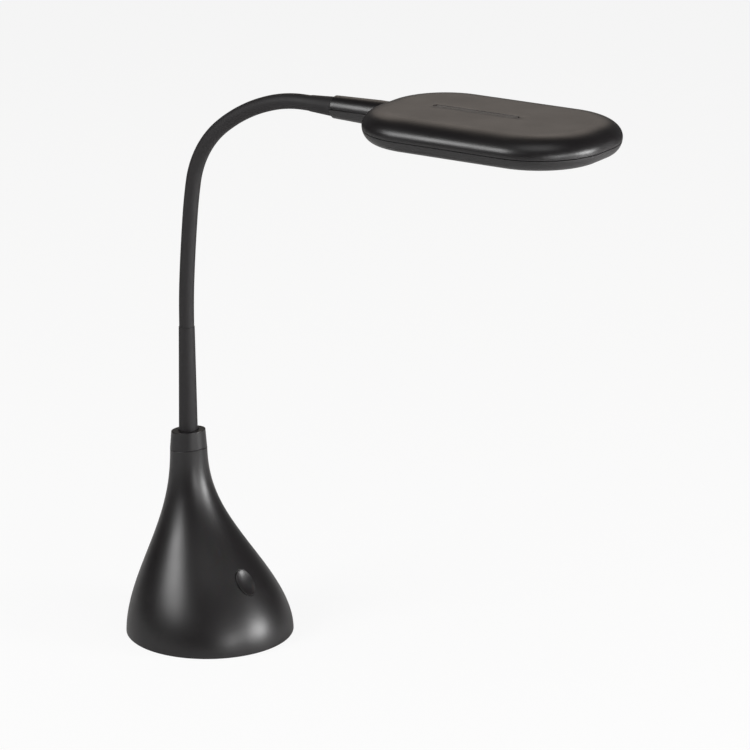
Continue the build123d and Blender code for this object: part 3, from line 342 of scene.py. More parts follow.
def inlet_finish():
    """Finish of the power inlet: nylon all over but for its pin, which is brass plated with
    nickel and is told from the body by its distance from the inlet's axis."""
    material = look("inlet_nylon_and_nickel")
    tree = material.node_tree
    body = next(node for node in tree.nodes if node.type == "BSDF_PRINCIPLED")
    place = next(node for node in tree.nodes if node.type == "TEX_COORD").outputs["Object"]
    to_axis = (0, 0, -inlet_frame()[0][2])
    centred = add_node(tree, "VectorMath", {1: to_axis}, {0: place}, operation="ADD")
    across = {0: centred.outputs["Vector"]}
    flat = add_node(tree, "VectorMath", {1: (1, 0, 1)}, across, operation="MULTIPLY")
    away = add_node(tree, "VectorMath", links={0: flat.outputs["Vector"]}, operation="LENGTH")
    pin_radius = 1.3 * MM
    pin = add_node(tree, "Math", {1: pin_radius}, {0: away.outputs["Value"]}, operation="LESS_THAN")
    plastic = body.inputs["Base Color"].links[0].from_socket
    mixed = {"Factor": pin.outputs["Value"], "A": plastic}
    tint = add_node(tree, "Mix", {"B": (*linear("c9c5bb"), 1)}, mixed, data_type="RGBA")
    tree.links.new(tint.outputs["Result"], body.inputs["Base Color"])
    tree.links.new(pin.outputs["Value"], body.inputs["Metallic"])
    return material


# ---------------------------------------------------------------- surfaces
SHARP = radians(38)


def grid_faces(rows, columns, wrap_rows=False):
    """Quads of a grid of points whose columns always close on themselves: each joins a point to
    its neighbours one column on and one row on."""
    index = np.arange(rows * columns).reshape(rows, columns)
    here = index if wrap_rows else index[:-1]
    above = np.roll(index, -1, 0) if wrap_rows else index[1:]
    quads = [here, np.roll(here, -1, 1), np.roll(above, -1, 1), above]
    return np.stack(quads, -1).reshape(-1, 4)


def capped_faces(rows, columns, first=0):
    """Quads of such a grid, its points counted from first, and a flat face over each end."""
    faces = (grid_faces(rows, columns) + first).tolist()
    faces.append((first + np.arange(columns)[::-1]).tolist())
    faces.append((first + np.arange((rows - 1) * columns, rows * columns)).tolist())
    return faces


def make_piece(name, points, faces, material, smooth=SHARP):
    """Mesh object from points and faces, with unused points dropped, its faces turned outwards
    and its edges sharp where the faces meet at more than the smooth angle."""
    faces = [tuple(face) for face in (faces.tolist() if hasattr(faces, "tolist") else faces)]
    flat = np.fromiter((i for face in faces for i in face), int)
    used, compact = np.unique(flat, return_inverse=True)
    starts = np.cumsum([0] + [len(face) for face in faces])
    faces = [tuple(compact[a:b].tolist()) for a, b in zip(starts[:-1], starts[1:])]
    mesh = bpy.data.meshes.new(name)
    mesh.from_pydata(np.asarray(points).reshape(-1, 3)[used].tolist(), [], faces)
    shape = bmesh.new()
    shape.from_mesh(mesh)
    if shape.calc_volume(signed=True) < 0:
        bmesh.ops.reverse_faces(shape, faces=shape.faces[:])
    shape.to_mesh(mesh)
    shape.free()
    mesh.shade_smooth()
    mesh.set_sharp_from_angle(angle=smooth)
    mesh.materials.append(material)
    piece = bpy.data.objects.new(name, mesh)
    bpy.context.scene.collection.objects.link(piece)
    return piece


def settle(piece, body, slot, *nodes):
    """Puts a finished piece on its body and hides the CAD nodes it stands for; slot is not used."""
    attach(piece, body)
    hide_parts(*nodes)


def rounded(corners, cut, steps=5):
    """Closed outline with rounded corners. At each corner the outline leaves its side a cut before
    the corner and joins the next side a cut after it, along the parabola
    (1-t)^2 start + 2t(1-t) corner + t^2 end; one more point on each side keeps the sides flat."""
    corners = np.asarray(corners, float)
    cut = np.broadcast_to(np.asarray(cut, float), len(corners))[:, None]
    before = np.roll(corners, 1, 0) - corners
    after = np.roll(corners, -1, 0) - corners
    start = cut * before / np.linalg.norm(before, axis=1, keepdims=True)
    end = cut * after / np.linalg.norm(after, axis=1, keepdims=True)
    t = np.linspace(0, 1, steps)[None, :, None]
    arc = (1 - t) ** 2 * start[:, None] + t**2 * end[:, None]
    support = 1.35
    whole = np.concatenate([support * start[:, None], arc, support * end[:, None]], 1)
    return (whole + corners[:, None]).reshape(-1, 2)


def edge_rows(start, corner, end, count=4):
    """Rounded edge between two rows: (1-t)^2 start + 2t(1-t) corner + t^2 end."""
    t = np.linspace(0, 1, count)[:, None]
    start, corner, end = (np.asarray(row, float) for row in (start, corner, end))
    return (1 - t) ** 2 * start + 2 * t * (1 - t) * corner + t**2 * end


def turns(columns):
    """Angles of evenly spread columns, all the way round."""
    return np.linspace(0, 2 * pi, columns, endpoint=False)


def revolve(outline, origin, axis, side, columns):
    """Points of a closed outline of (radius, height) pairs carried round an axis:
    origin + height * axis + radius * (cos a * side + sin a * (axis x side))."""
    axis, side = np.asarray(axis, float), np.asarray(side, float)
    angle = turns(columns)
    spoke = np.cos(angle)[:, None] * side + np.sin(angle)[:, None] * np.cross(axis, side)
    radius, height = np.asarray(outline, float).T
    return np.asarray(origin) + height[:, None, None] * axis + radius[:, None, None] * spoke[None]


# ---------------------------------------------------------------- places
UP = np.array([0.0, 0.0, 1.0])
RIGHT = np.array([1.0, 0.0, 0.0])


def bell_share(z):
    """How much of the flare is left at height z: (1 - (z / height)^fullness)^flare."""
    s = sizes()
    return (1 - np.clip(z / s.bell_height, 0, 1) ** s.bell_fullness) ** s.bell_flare


def bell_round(z):
    """Radius and centre (its y) of the bell's round section at height z."""
    s = sizes()
    share = bell_share(z)
    return s.throat_radius + (s.base_radius - s.throat_radius) * share, s.throat_offset * (1 - share)


def throat(height):
    """Point on the throat's axis."""
    return np.array([0, sizes().throat_offset, height])


def front_slope_frame():
    """Origin and three directions of the button: across, up the slope, out of the bell."""
    s = sizes()
    step = 0.5 * MM
    heights = np.array([s.button_height - step, s.button_height, s.button_height + step])
    radius, centre = bell_round(heights)
    front = centre - radius
    slope = (front[2] - front[0]) / (2 * step)
    outward = np.array([0, -1, slope]) / np.hypot(1, slope)
    return np.array([0, front[1], s.button_height]), RIGHT, np.cross(outward, RIGHT), outward


def inlet_frame():
    """Origin and three directions of the power inlet on the bell's rear."""
    radius, centre = bell_round(sizes().inlet_height)
    return np.array([0, centre + radius, sizes().inlet_height]), -RIGHT, UP, np.array([0.0, 1.0, 0.0])


def board_plug_place():
    """Where the neck's lead leaves its plug on the control board's back, and its direction."""
    s = sizes()
    place, across, along, outward = front_slope_frame()
    return place - s.plug_depth * outward + s.plug_shift * across + s.plug_rise * along, along


def pivot_directions(places):
    """Direction of the neck at each hinge. Each link is an arc, and an arc's end direction is its
    start direction mirrored in its chord: 2 (chord . start) chord - start."""
    directions = [UP]
    for chord in np.diff(places, axis=0):
        chord = chord / np.linalg.norm(chord)
        directions.append(2 * (chord @ directions[-1]) * chord - directions[-1])
    return np.array(directions)


# places of the neck's hinges, from the base to the head
PIVOTS = np.array([joint["pos_m"] for joint in frame["joints"] if joint["type"] == "hinge"])
ALONG = pivot_directions(PIVOTS)
LAST = PIVOTS[-1]
FORWARD = ALONG[-1]
SIDEWAYS = np.cross(UP, FORWARD)
LAST_JOINT = len(PIVOTS) - 1


def from_head(x, y, z):
    """Place in the frame of a point in the head: x forward, y to the side, z up, from its middle."""
    s = sizes()
    middle = LAST + FORWARD * (s.socket_reach + s.socket_length + s.head_length / 2)
    x, y, z = (np.asarray(value)[..., None] for value in (x, y, z))
    return middle + x * FORWARD + y * SIDEWAYS + z * UP


class LampOperator(bpy.types.Operator):
    """Shared settings of the lamp's operators."""

    bl_options = {"REGISTER", "UNDO"}


# ---------------------------------------------------------------- base
BELL_ROWS, BELL_COLUMNS = 120, 240
HOLE_RINGS = 8
WINDOW_MARGIN = 1.45  # window in the bell's grid, as a multiple of the hole in it


def bell_points():
    """Outside of the bell: at each height z a circle whose radius and centre come from the flare;
    the rows rise from the level rim to the tilted seam in equal steps."""
    s = sizes()
    angle = turns(BELL_COLUMNS)
    share_up = np.linspace(0, 1, BELL_ROWS)[:, None]
    top = s.seam_height - tan(s.seam_tilt) * s.throat_radius * np.sin(angle)
    z = s.rim_lift + (top - s.rim_lift) * share_up
    radius, centre = bell_round(z)
    return np.stack([radius * np.cos(angle), centre + radius * np.sin(angle), z], -1)


def onto_bell(place, across, along, outward, u, v):
    """Points of the bell above (u, v) in a tangent frame: the offset w along the frame's outward
    direction is found by Newton's steps on x^2 + (y - centre(z))^2 - radius(z)^2 = 0."""

    def miss(w):
        point = place + u[..., None] * across + v[..., None] * along + w[..., None] * outward
        radius, centre = bell_round(point[..., 2])
        return point, point[..., 0] ** 2 + (point[..., 1] - centre) ** 2 - radius**2

    w = np.zeros_like(u)
    step = 1e-6
    for _ in range(12):
        here = miss(w)[1]
        w = w - here * step / (miss(w + step)[1] - here)
    return miss(w)[0]


def bell_hole(grid, rows, columns, tangent, half_u, half_v, first):
    """Ring of surface round an oval hole. Its outer edge is the rim of a window in the grid, its
    inner edge the oval (half_u cos a, half_v sin a); between them the points go straight in
    the tangent frame and are then put onto the bell. Returns its points and quads."""
    (r0, r1), (c0, c1) = rows, columns
    index = np.arange(grid.shape[0] * grid.shape[1]).reshape(grid.shape[:2])
    window = np.concatenate(
        [index[r0, c0:c1], index[r0:r1, c1], index[r1, c1:c0:-1], index[r1:r0:-1, c0]]
    )
    place, across, along, outward = tangent
    offset = grid.reshape(-1, 3)[window] - place
    u, v = offset @ across, offset @ along
    bearing = np.arctan2(v / half_v, u / half_u)
    t = np.linspace(0, 1, HOLE_RINGS + 1)[1:, None]
    ring_u = (1 - t) * u + t * half_u * np.cos(bearing)
    ring_v = (1 - t) * v + t * half_v * np.sin(bearing)
    points = onto_bell(place, across, along, outward, ring_u, ring_v)
    rings = np.concatenate([window[None], first + np.arange(t.size * window.size).reshape(t.size, -1)])
    quads = [rings[:-1], np.roll(rings[:-1], -1, 1), np.roll(rings[1:], -1, 1), rings[1:]]
    return points.reshape(-1, 3), np.stack(quads, -1).reshape(-1, 4)


def window_round(grid, place, half_u, half_v):
    """Rows and columns of the grid that frame a hole round a place."""
    distance = np.linalg.norm(grid - place, axis=-1)
    row, column = np.unravel_index(distance.argmin(), distance.shape)
    per_row = np.linalg.norm(grid[row + 1, column] - grid[row, column])
    per_column = np.linalg.norm(grid[row, column + 1] - grid[row, column])
    up = int(WINDOW_MARGIN * half_v / per_row) + 1
    aside = int(WINDOW_MARGIN * half_u / per_column) + 1
    return (max(row - up, 1), row + up), (column - aside, column + aside)


class LAMP_OT_bell(LampOperator):
    """Bell-shaped housing of the base, with its holes for the button and the power inlet"""

    bl_idname = "lamp.bell"
    bl_label = "Bell"

    def execute(self, context):
        s = sizes()
        grid = bell_points()
        points, quads = [grid.reshape(-1, 3)], grid_faces(BELL_ROWS, BELL_COLUMNS)
        inside = np.zeros((BELL_ROWS - 1, BELL_COLUMNS), bool)
        patches = []
        for tangent, half_u, half_v in (
            (front_slope_frame(), s.button_half_width + s.button_gap, s.button_half_length + s.button_gap),
            (inlet_frame(), s.inlet_opening, s.inlet_opening),
        ):
            rows, columns = window_round(grid, tangent[0], half_u, half_v)
            first = sum(len(part) for part in points)
            patch, faces = bell_hole(grid, rows, columns, tangent, half_u, half_v, first)
            inside[rows[0] : rows[1], columns[0] : columns[1]] = True
            points.append(patch)
            patches.append(faces)
        quads = np.concatenate([quads[~inside.ravel()], *patches])
        bell = make_piece("bell_shell", np.concatenate(points), quads, look("satin_abs"), pi)
        wall = bell.modifiers.new("wall", "SOLIDIFY")
        wall.thickness = s.base_wall
        wall.offset = -1
        wall.use_even_offset = True
        bevel = bell.modifiers.new("rounded edges", "BEVEL")
        bevel.limit_method = "ANGLE"
        bevel.angle_limit = radians(40)
        bevel.width = 0.45 * MM
        bevel.segments = 3
        bevel.harden_normals = True
        settle(bell, "base", "black_shell", "base_shell")
        return {"FINISHED"}


class LAMP_OT_collar(LampOperator):
    """Collar on the bell's throat, with both faces tilted and a soft groove at its foot"""

    bl_idname = "lamp.collar"
    bl_label = "Collar"

    def execute(self, context):
        s = sizes()
        columns = 160
        seam, top = s.seam_height, s.seam_height + s.collar_height
        foot_radius = bell_round(seam)[0]
        slope = (foot_radius - s.collar_top_radius) / s.collar_height
        corners = [
            (s.collar_bore, seam - s.spigot_length),
            (s.spigot_radius, seam - s.spigot_length),
            (s.spigot_radius, seam),
            (foot_radius, seam),
            (s.collar_top_radius, top),
            (s.collar_bore, top),
        ]
        outline = rounded(corners, np.array([0.3, 0.3, 0.1, 0.65, 0.55, 0.45]) * MM, 7)
        points = revolve(outline, (0, s.throat_offset, 0), UP, RIGHT, columns)
        # tilt: all above the spigot sinks by tan(tilt) for each step to the rear, and the
        # tapered outside widens by its slope where it sinks
        sink = tan(s.seam_tilt) * (points[..., 1] - s.throat_offset)
        sink = sink * np.clip((points[..., 2] - seam + s.spigot_length) / s.spigot_length, 0, 1)
        fade = 2 * MM
        outer = np.clip((outline[:, :1] - s.spigot_radius) / fade, 0, 1)
        wider = 1 + slope * sink * outer / outline[:, :1]
        points[..., 0] *= wider
        points[..., 1] = s.throat_offset + (points[..., 1] - s.throat_offset) * wider
        points[..., 2] -= sink
        faces = grid_faces(len(outline), columns, wrap_rows=True)
        collar = make_piece("collar_ring", points, faces, look("satin_abs"))
        settle(collar, "base", "black_shell", "neck_collar")
        return {"FINISHED"}


class LAMP_OT_button(LampOperator):
    """Oval push button with a dished face, and the flange that keeps it in"""

    bl_idname = "lamp.button"
    bl_label = "Button"

    def execute(self, context):
        s = sizes()
        place, across, along, outward = front_slope_frame()
        top, soft, lip, front = s.button_proud, 0.25 * MM, s.button_lip, -s.button_lip_depth
        back = front - lip
        # rows of (share of the oval, growth of the oval, height), from the back to the dish
        skirt = [
            (0.02, lip, back),
            (0.5, lip, back),
            (0.97, lip, back),
            (1, lip, back + soft),
            (1, lip, front - soft),
            (1, lip - soft, front),
            (1, 0.1 * MM, front),
            (1, 0, front + soft),
            (1, 0, top - 2 * soft),
        ]
        edge = edge_rows((1, 0, top - soft), (1, 0, top), (1, -soft, top), 5)
        # the dish is the cap of an ellipsoid whose middle stands above the rim:
        # height = middle - radius * sqrt(1 - (share / spread)^2)
        share = np.concatenate([[1, 0.985], np.linspace(0.96, 0.02, 24)])
        spread = 1 / np.sqrt(1 - s.button_roundness**2)
        radius = s.button_dish / (1 - s.button_roundness)
        depth = top - s.button_dish + radius - radius * np.sqrt(1 - (share / spread) ** 2)
        dish = np.stack([share, np.full(share.size, -s.button_rim), depth], -1)
        share, growth, height = np.concatenate([skirt, edge, dish]).T[..., None]
        angle = turns(96)
        u = share * (s.button_half_width + growth) * np.cos(angle)
        v = share * (s.button_half_length + growth) * np.sin(angle)
        points = place + u[..., None] * across + v[..., None] * along + height[..., None] * outward
        button = make_piece("button_dished", points, capped_faces(*u.shape), look("button_abs"))
        settle(button, "button", "button_plastic", "switch_button")
        return {"FINISHED"}


# ---------------------------------------------------------------- neck
SPACING = 1.25 * MM
LEAD_BORE = 0.6 * MM
LEAD_UPRIGHT = 112 * MM  # height at which the lead is in line with the throat
HEAD_PLUG = (10 * MM, 15 * MM, 4.7 * MM)  # level run into the head, then the plug's place on and up
WIRE_RELIEF = 0.35 * MM


def curve_between(start, start_way, end, end_way, steps, handle=1 / 3):
    """Points and directions along the cubic with those ends and end directions:
    (1-t)^3 a + 3t(1-t)^2 b + 3t^2(1-t) c + t^3 d, b and c a third of its length from the ends."""
    reach = np.linalg.norm(end - start) * handle
    a, b, c, d = start, start + start_way * reach, end - end_way * reach, end
    t = np.asarray(steps)[:, None]
    points = (1 - t) ** 3 * a + 3 * t * (1 - t) ** 2 * b + 3 * t**2 * (1 - t) * c + t**3 * d
    ways = 3 * (1 - t) ** 2 * (b - a) + 6 * t * (1 - t) * (c - b) + 3 * t**2 * (d - c)
    return points, ways / np.linalg.norm(ways, axis=1, keepdims=True)


def stretch_between(start, end, way):
    """Points and directions of a straight run."""
    count = max(int(np.linalg.norm(end - start) / SPACING), 2)
    t = np.linspace(0, 1, count)[:, None]
    return start + (end - start) * t, np.repeat(way[None], count, 0)


def half_link(index, second):
    """First or second half of link number index, between hinges index and index + 1."""
    count = int(np.linalg.norm(PIVOTS[index + 1] - PIVOTS[index]) / 2 / SPACING) + 1
    steps = np.linspace(0.5, 1, count) if second else np.linspace(0, 0.5, count)
    return curve_between(PIVOTS[index], ALONG[index], PIVOTS[index + 1], ALONG[index + 1], steps)


def joined(first, second):
    """Two runs of points and directions as one, without the point they share."""
    return tuple(np.concatenate([a, b[1:]]) for a, b in zip(first, second))


def neck_run(joint, foot, tail):
    """Centre line of the part of the neck that bends at one hinge: from the middle of the link
    before it to the middle of the link after it, or from the foot run or to the tail run."""
    before = foot if joint == 0 else half_link(joint - 1, True)
    return joined(before, tail if joint == LAST_JOINT else half_link(joint, False))


def tube_points(centres, ways, outer, inner, columns):
    """Tube wall round a centre line: centre + radius * (cos a * side + sin a * way x side), up
    its outside and back down its inside. outer is a radius, or a grid of radii."""
    up = np.cross(ways, SIDEWAYS)
    up /= np.linalg.norm(up, axis=1, keepdims=True)
    angle = turns(columns)
    spoke = np.cos(angle)[None, :, None] * SIDEWAYS + np.sin(angle)[None, :, None] * up[:, None]
    outer = np.broadcast_to(outer, spoke.shape[:2])
    outside = centres[:, None] + outer[..., None] * spoke
    inside = centres[:, None] + inner * spoke
    return np.concatenate([outside, inside[::-1]])


def cad_nodes(layer, joint):
    """CAD nodes of a layer of the neck that the part round one hinge stands for."""
    if layer == "lead":
        return ["neck_lead"]
    ends = {0: [f"{layer}_foot"], LAST_JOINT: [f"{layer}_end"]}.get(joint, [])
    return ends + ([f"{layer}_link_{joint}"] if joint else [])


def neck_layer(layer, foot, tail, outer, inner, material, slot, columns):
    """One layer of the neck as a tube round each hinge, curving along the neck's centre line from the link
    before it to the link after it.
    outer is a radius or a function of the run's lengths and angles that gives radii."""
    travelled = 0.0
    for joint in range(len(PIVOTS)):
        centres, ways = neck_run(joint, foot, tail)
        steps = np.linalg.norm(np.diff(centres, axis=0), axis=1)
        lengths = travelled + np.concatenate([[0], np.cumsum(steps)])
        travelled = lengths[-1]
        radius = outer(lengths, turns(columns)) if callable(outer) else outer
        points = tube_points(centres, ways, radius, inner, columns)
        faces = grid_faces(len(points), columns, wrap_rows=True)
        piece = make_piece(f"{layer}_part_{joint}", points, faces, look(material), radians(50))
        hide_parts(*cad_nodes(layer, joint))
        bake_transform(piece)


class LAMP_OT_neck(LampOperator):
    """Soft sleeve, wound steel hose and lead of the gooseneck, each in a part per hinge"""

    bl_idname = "lamp.neck"
    bl_label = "Neck"

    def execute(self, context):
        s = sizes()

        def straight(foot, reach):
            """Runs from a height on the throat's axis to the first hinge, and on past the last."""
            rise = stretch_between(throat(foot), PIVOTS[0], UP)
            return rise, stretch_between(LAST, LAST + FORWARD * reach, FORWARD)

        def winding(lengths, angle):
            """Outside of the hose: a round wire wound on, seen as a rounded helical ridge."""
            turn = lengths[:, None] / s.hose_pitch - angle[None] / (2 * pi)
            return s.hose_radius - WIRE_RELIEF * (1 - np.abs(np.cos(pi * turn)))

        sleeve = straight(s.sleeve_foot, s.sleeve_end)
        neck_layer("sleeve", *sleeve, s.sleeve_radius, s.sleeve_bore, "silicone", "sleeve_rubber", 72)
        hose = straight(s.hose_foot, s.hose_end)
        neck_layer("hose", *hose, winding, s.hose_bore, "zinc_steel", "steel", 32)
        # the lead rises from its plug on the control board and ends at the plug in the head
        level_run, plug_on, plug_up = HEAD_PLUG
        upright = throat(LEAD_UPRIGHT)
        rise = curve_between(*board_plug_place(), upright, UP, np.linspace(0, 1, 48), 0.38)
        run, level = straight(LEAD_UPRIGHT, s.socket_reach + s.socket_length + level_run)
        in_head = level[0][-1]
        plug = in_head + FORWARD * plug_on + UP * plug_up
        end = curve_between(in_head, FORWARD, plug, FORWARD, np.linspace(0, 1, 16))
        lead = joined(rise, run), joined(level, end)
        neck_layer("lead", *lead, s.lead_radius, LEAD_BORE, "pvc_lead", "lead_pvc", 24)
        return {"FINISHED"}


class LAMP_OT_boots(LampOperator):
    """Tapered boots at the two ends of the neck"""

    bl_idname = "lamp.boots"
    bl_label = "Boots"

    def execute(self, context):
        s = sizes()
        columns = 96
        lower = [
            (s.boot_bore, s.boot_bottom),
            (s.boot_base_radius, s.boot_bottom),
            (s.boot_tip_radius, s.boot_top),
            (s.boot_bore, s.boot_top),
        ]
        upper = [
            (s.boot_bore, s.upper_boot_start),
            (s.upper_boot_tip, s.upper_boot_start),
            (s.upper_boot_root, s.socket_reach),
            (s.upper_boot_root, s.upper_boot_end),
            (s.boot_bore, s.upper_boot_end),
        ]
        lower_axis, upper_axis = ((0, s.throat_offset, 0), UP, RIGHT), (LAST, FORWARD, SIDEWAYS)
        for side, body, corners, cuts, axis in (
            ("lower", "base", lower, (0.2, 0.5, 0.18, 0.1), lower_axis),
            ("upper", "head", upper, (0.06, 0.12, 0.5, 0.3, 0.2), upper_axis),
        ):
            outline = rounded(corners, np.array(cuts) * MM)
            faces = grid_faces(len(outline), columns, wrap_rows=True)
            points = revolve(outline, *axis, columns)
            boot = make_piece(f"{side}_boot_sleeve", points, faces, look("silicone"))
            settle(boot, body, "sleeve_rubber", f"{side}_boot")
        return {"FINISHED"}


# ---------------------------------------------------------------- head
class LAMP_OT_socket(LampOperator):
    """Two halves of the clamshell socket between the neck and the head"""

    bl_idname = "lamp.socket"
    bl_label = "Socket"

    def execute(self, context):
        s = sizes()
        columns = 97
        root = s.socket_reach + s.socket_length
        shoulder, tongue = root + s.socket_shoulder, root + s.socket_tongue
        tongue_radius, lead_bore, ferrule_bore = s.socket_root - 1.6 * MM, 3.4 * MM, 6.0 * MM
        mouth_bore, ferrule_end = s.upper_boot_root + 0.05 * MM, 52.05 * MM
        outline = np.array(
            [
                (mouth_bore, s.socket_reach),
                (s.socket_mouth - s.socket_chamfer, s.socket_reach),
                (s.socket_mouth, s.socket_reach + s.socket_chamfer),
                (s.socket_root, root),
                (s.socket_root, shoulder),
                (tongue_radius, shoulder),
                (tongue_radius, tongue),
                (lead_bore, tongue),
                (lead_bore, ferrule_end),
                (ferrule_bore, ferrule_end),
                (ferrule_bore, s.upper_boot_end),
                (mouth_bore, s.upper_boot_end),
            ]
        )
        shell = np.isin(np.arange(len(outline)), (1, 2, 3, 4))
        for name, node, half in (
            ("socket_top_half", "socket_upper", 1),
            ("socket_bottom_half", "socket_lower", -1),
        ):
            # radius r and height h at angle a: last pivot + h forward + r (cos a side + sin a up),
            # with columns close together at the seam. At a distance d from the seam the outside
            # dips by groove depth * (1 - d / groove width)^2
            angle = half * pi * (1 - np.cos(np.linspace(0, pi, columns))) / 2
            spoke = np.cos(angle)[:, None] * SIDEWAYS + np.sin(angle)[:, None] * UP
            away = np.minimum(np.abs(angle), pi - np.abs(angle)) * s.socket_root
            dip = s.socket_groove * np.clip(1 - away / s.socket_groove, 0, 1) ** 2
            radius = outline[:, :1] - shell[:, None] * dip
            points = LAST + outline[:, 1, None, None] * FORWARD + radius[..., None] * spoke
            index = np.arange(len(outline) * columns).reshape(len(outline), columns)
            after = np.roll(index, -1, 0)
            quads = np.stack([index[:, :-1], index[:, 1:], after[:, 1:], after[:, :-1]], -1)
            faces = quads.reshape(-1, 4).tolist()
            faces += [index[::-1, 0].tolist(), index[:, -1].tolist()]
            settle(make_piece(name, points, faces, look("satin_abs")), "head", "black_shell", node)
        return {"FINISHED"}


CORNER_STEPS, LONG_STEPS, SHORT_STEPS = 44, 60, 12


def head_columns():
    """Columns round the head, each as a point on the core rectangle and a direction outward, so
    that core + radius * direction is the head's outline at any inset; and beside them the same
    columns on the slot's own core line, its directions spread evenly round its ends."""
    s = sizes()
    core_x, core_y = s.head_length / 2 - s.head_corner, s.head_width / 2 - s.head_corner
    slot_core = (s.slot_length - s.slot_width) / 2

    def run(start, end, count):
        return np.linspace(start, end, count, endpoint=False)

    def end_columns(sign):
        """Corner, short side, corner: half a turn about one end of the head."""
        first = -90 if sign > 0 else 90
        straight = np.full(SHORT_STEPS, first + 90.0)
        corners = run(first, first + 90, CORNER_STEPS), run(first + 90, first + 180, CORNER_STEPS)
        angle = np.concatenate([corners[0], straight, corners[1]])
        ones = np.ones(CORNER_STEPS)
        side = np.concatenate([-ones, run(-1.0, 1.0, SHORT_STEPS), ones])
        core = np.stack([np.full(side.size, sign * core_x), sign * side * core_y], -1)
        slot = np.stack([np.full(side.size, sign * slot_core), 0 * side], -1)
        return core, angle, slot, run(first, first + 180, side.size)

    def side_columns(sign):
        """Long side of the head."""
        along = run(sign, -sign, LONG_STEPS)
        angle = np.full(LONG_STEPS, 90.0 * sign)
        core = np.stack([along * core_x, np.full(LONG_STEPS, sign * core_y)], -1)
        return core, angle, np.stack([along * slot_core, 0 * along], -1), angle

    def direction(degrees):
        return np.stack([np.cos(np.radians(degrees)), np.sin(np.radians(degrees))], -1)

    parts = zip(end_columns(1), side_columns(1), end_columns(-1), side_columns(-1))
    core, angle, slot, slot_angle = (np.concatenate(part) for part in parts)
    return core, direction(angle), slot + np.array([s.slot_shift, 0]), direction(slot_angle)


def head_surface(rows):
    """Closed surface round the head from rows of (inset, level, share, growth). A share of 0 lies
    on the head's outline moved in by the inset, 1 on the slot's outline grown by growth, and
    between them the points go straight from one to the other."""
    s = sizes()
    core, way, slot, slot_way = head_columns()
    inset, level, share, growth = (column[:, None, None] for column in rows.T)
    outline = core + (s.head_corner - inset) * way
    opening = slot + (s.slot_width / 2 + growth) * slot_way
    flat = (1 - share) * outline + share * opening
    points = from_head(flat[..., 0], flat[..., 1], level[..., 0])
    return points, grid_faces(len(rows), len(core), wrap_rows=True)


def on_rim(angle, width, height, inset=0.0):
    """Rows of a quarter-ellipse rim: inset + width (1 - cos a), height sin a."""
    return inset + width * (1 - np.cos(angle)), height * np.sin(angle)


def lower_rim(drop):
    """Inset of the head's rounded lower rim at a depth below the widest line."""
    s = sizes()
    return s.bottom_rim * (1 - np.sqrt(1 - (drop / s.head_bottom) ** 2))


def profile_rows(inset, level, share=0.0, growth=0.0):
    return np.stack(np.broadcast_arrays(inset, level, share, growth), -1)


def soft_corner(inset, level, leave, join, count=4, slot=False):
    """Rounded edge of the profile at a corner, from the corner + leave to the corner + join, each
    an (inset, level) step. At the slot the inset counts outwards from the slot's outline."""
    corner = np.array([inset, level], float)
    across, height = edge_rows(corner + leave, corner, corner + join, count).T
    return profile_rows(0, height, 1, across) if slot else profile_rows(across, height)


def plug_cutter(spots):
    """Closed turned solids, one for each (place, axis, side, outline), as one hidden cutter."""
    points, faces, first, columns = [], [], 0, 64
    for place, axis, side, outline in spots:
        faces += capped_faces(len(outline), columns, first)
        points.append(revolve(outline, place, axis, side, columns).reshape(-1, 3))
        first += len(outline) * columns
    return make_piece("cutter", np.concatenate(points), faces, look("satin_abs"))


def cut(piece, cutter):
    """Takes the cutter's volume out of the piece for good and removes the cutter."""
    boolean = piece.modifiers.new("opening", "BOOLEAN")
    boolean.operation = "DIFFERENCE"
    boolean.solver = "EXACT"
    boolean.object = cutter
    done = bpy.data.meshes.new_from_object(
        piece.evaluated_get(bpy.context.evaluated_depsgraph_get())
    )
    piece.modifiers.clear()
    piece.data = done
    done.name = piece.name
    done.shade_smooth()
    done.set_sharp_from_angle(angle=SHARP)
    bpy.data.objects.remove(cutter)


def cut_for_socket(cover):
    """Cuts the round opening that the socket enters the head by, and the two small notches in its
    edge where the socket's seam runs in."""
    s = sizes()
    root = s.socket_reach + s.socket_length
    radius = s.socket_root + s.socket_gap
    opening = [(radius, s.socket_reach), (radius, root + s.socket_shoulder + s.socket_gap)]
    notch = [(s.seam_notch, s.socket_reach), (s.seam_notch, root + 4 * s.seam_notch)]
    for shift, outline in ((0, opening), (-radius, notch), (radius, notch)):
        cut(cover, plug_cutter([(LAST + shift * SIDEWAYS, FORWARD, SIDEWAYS, outline)]))


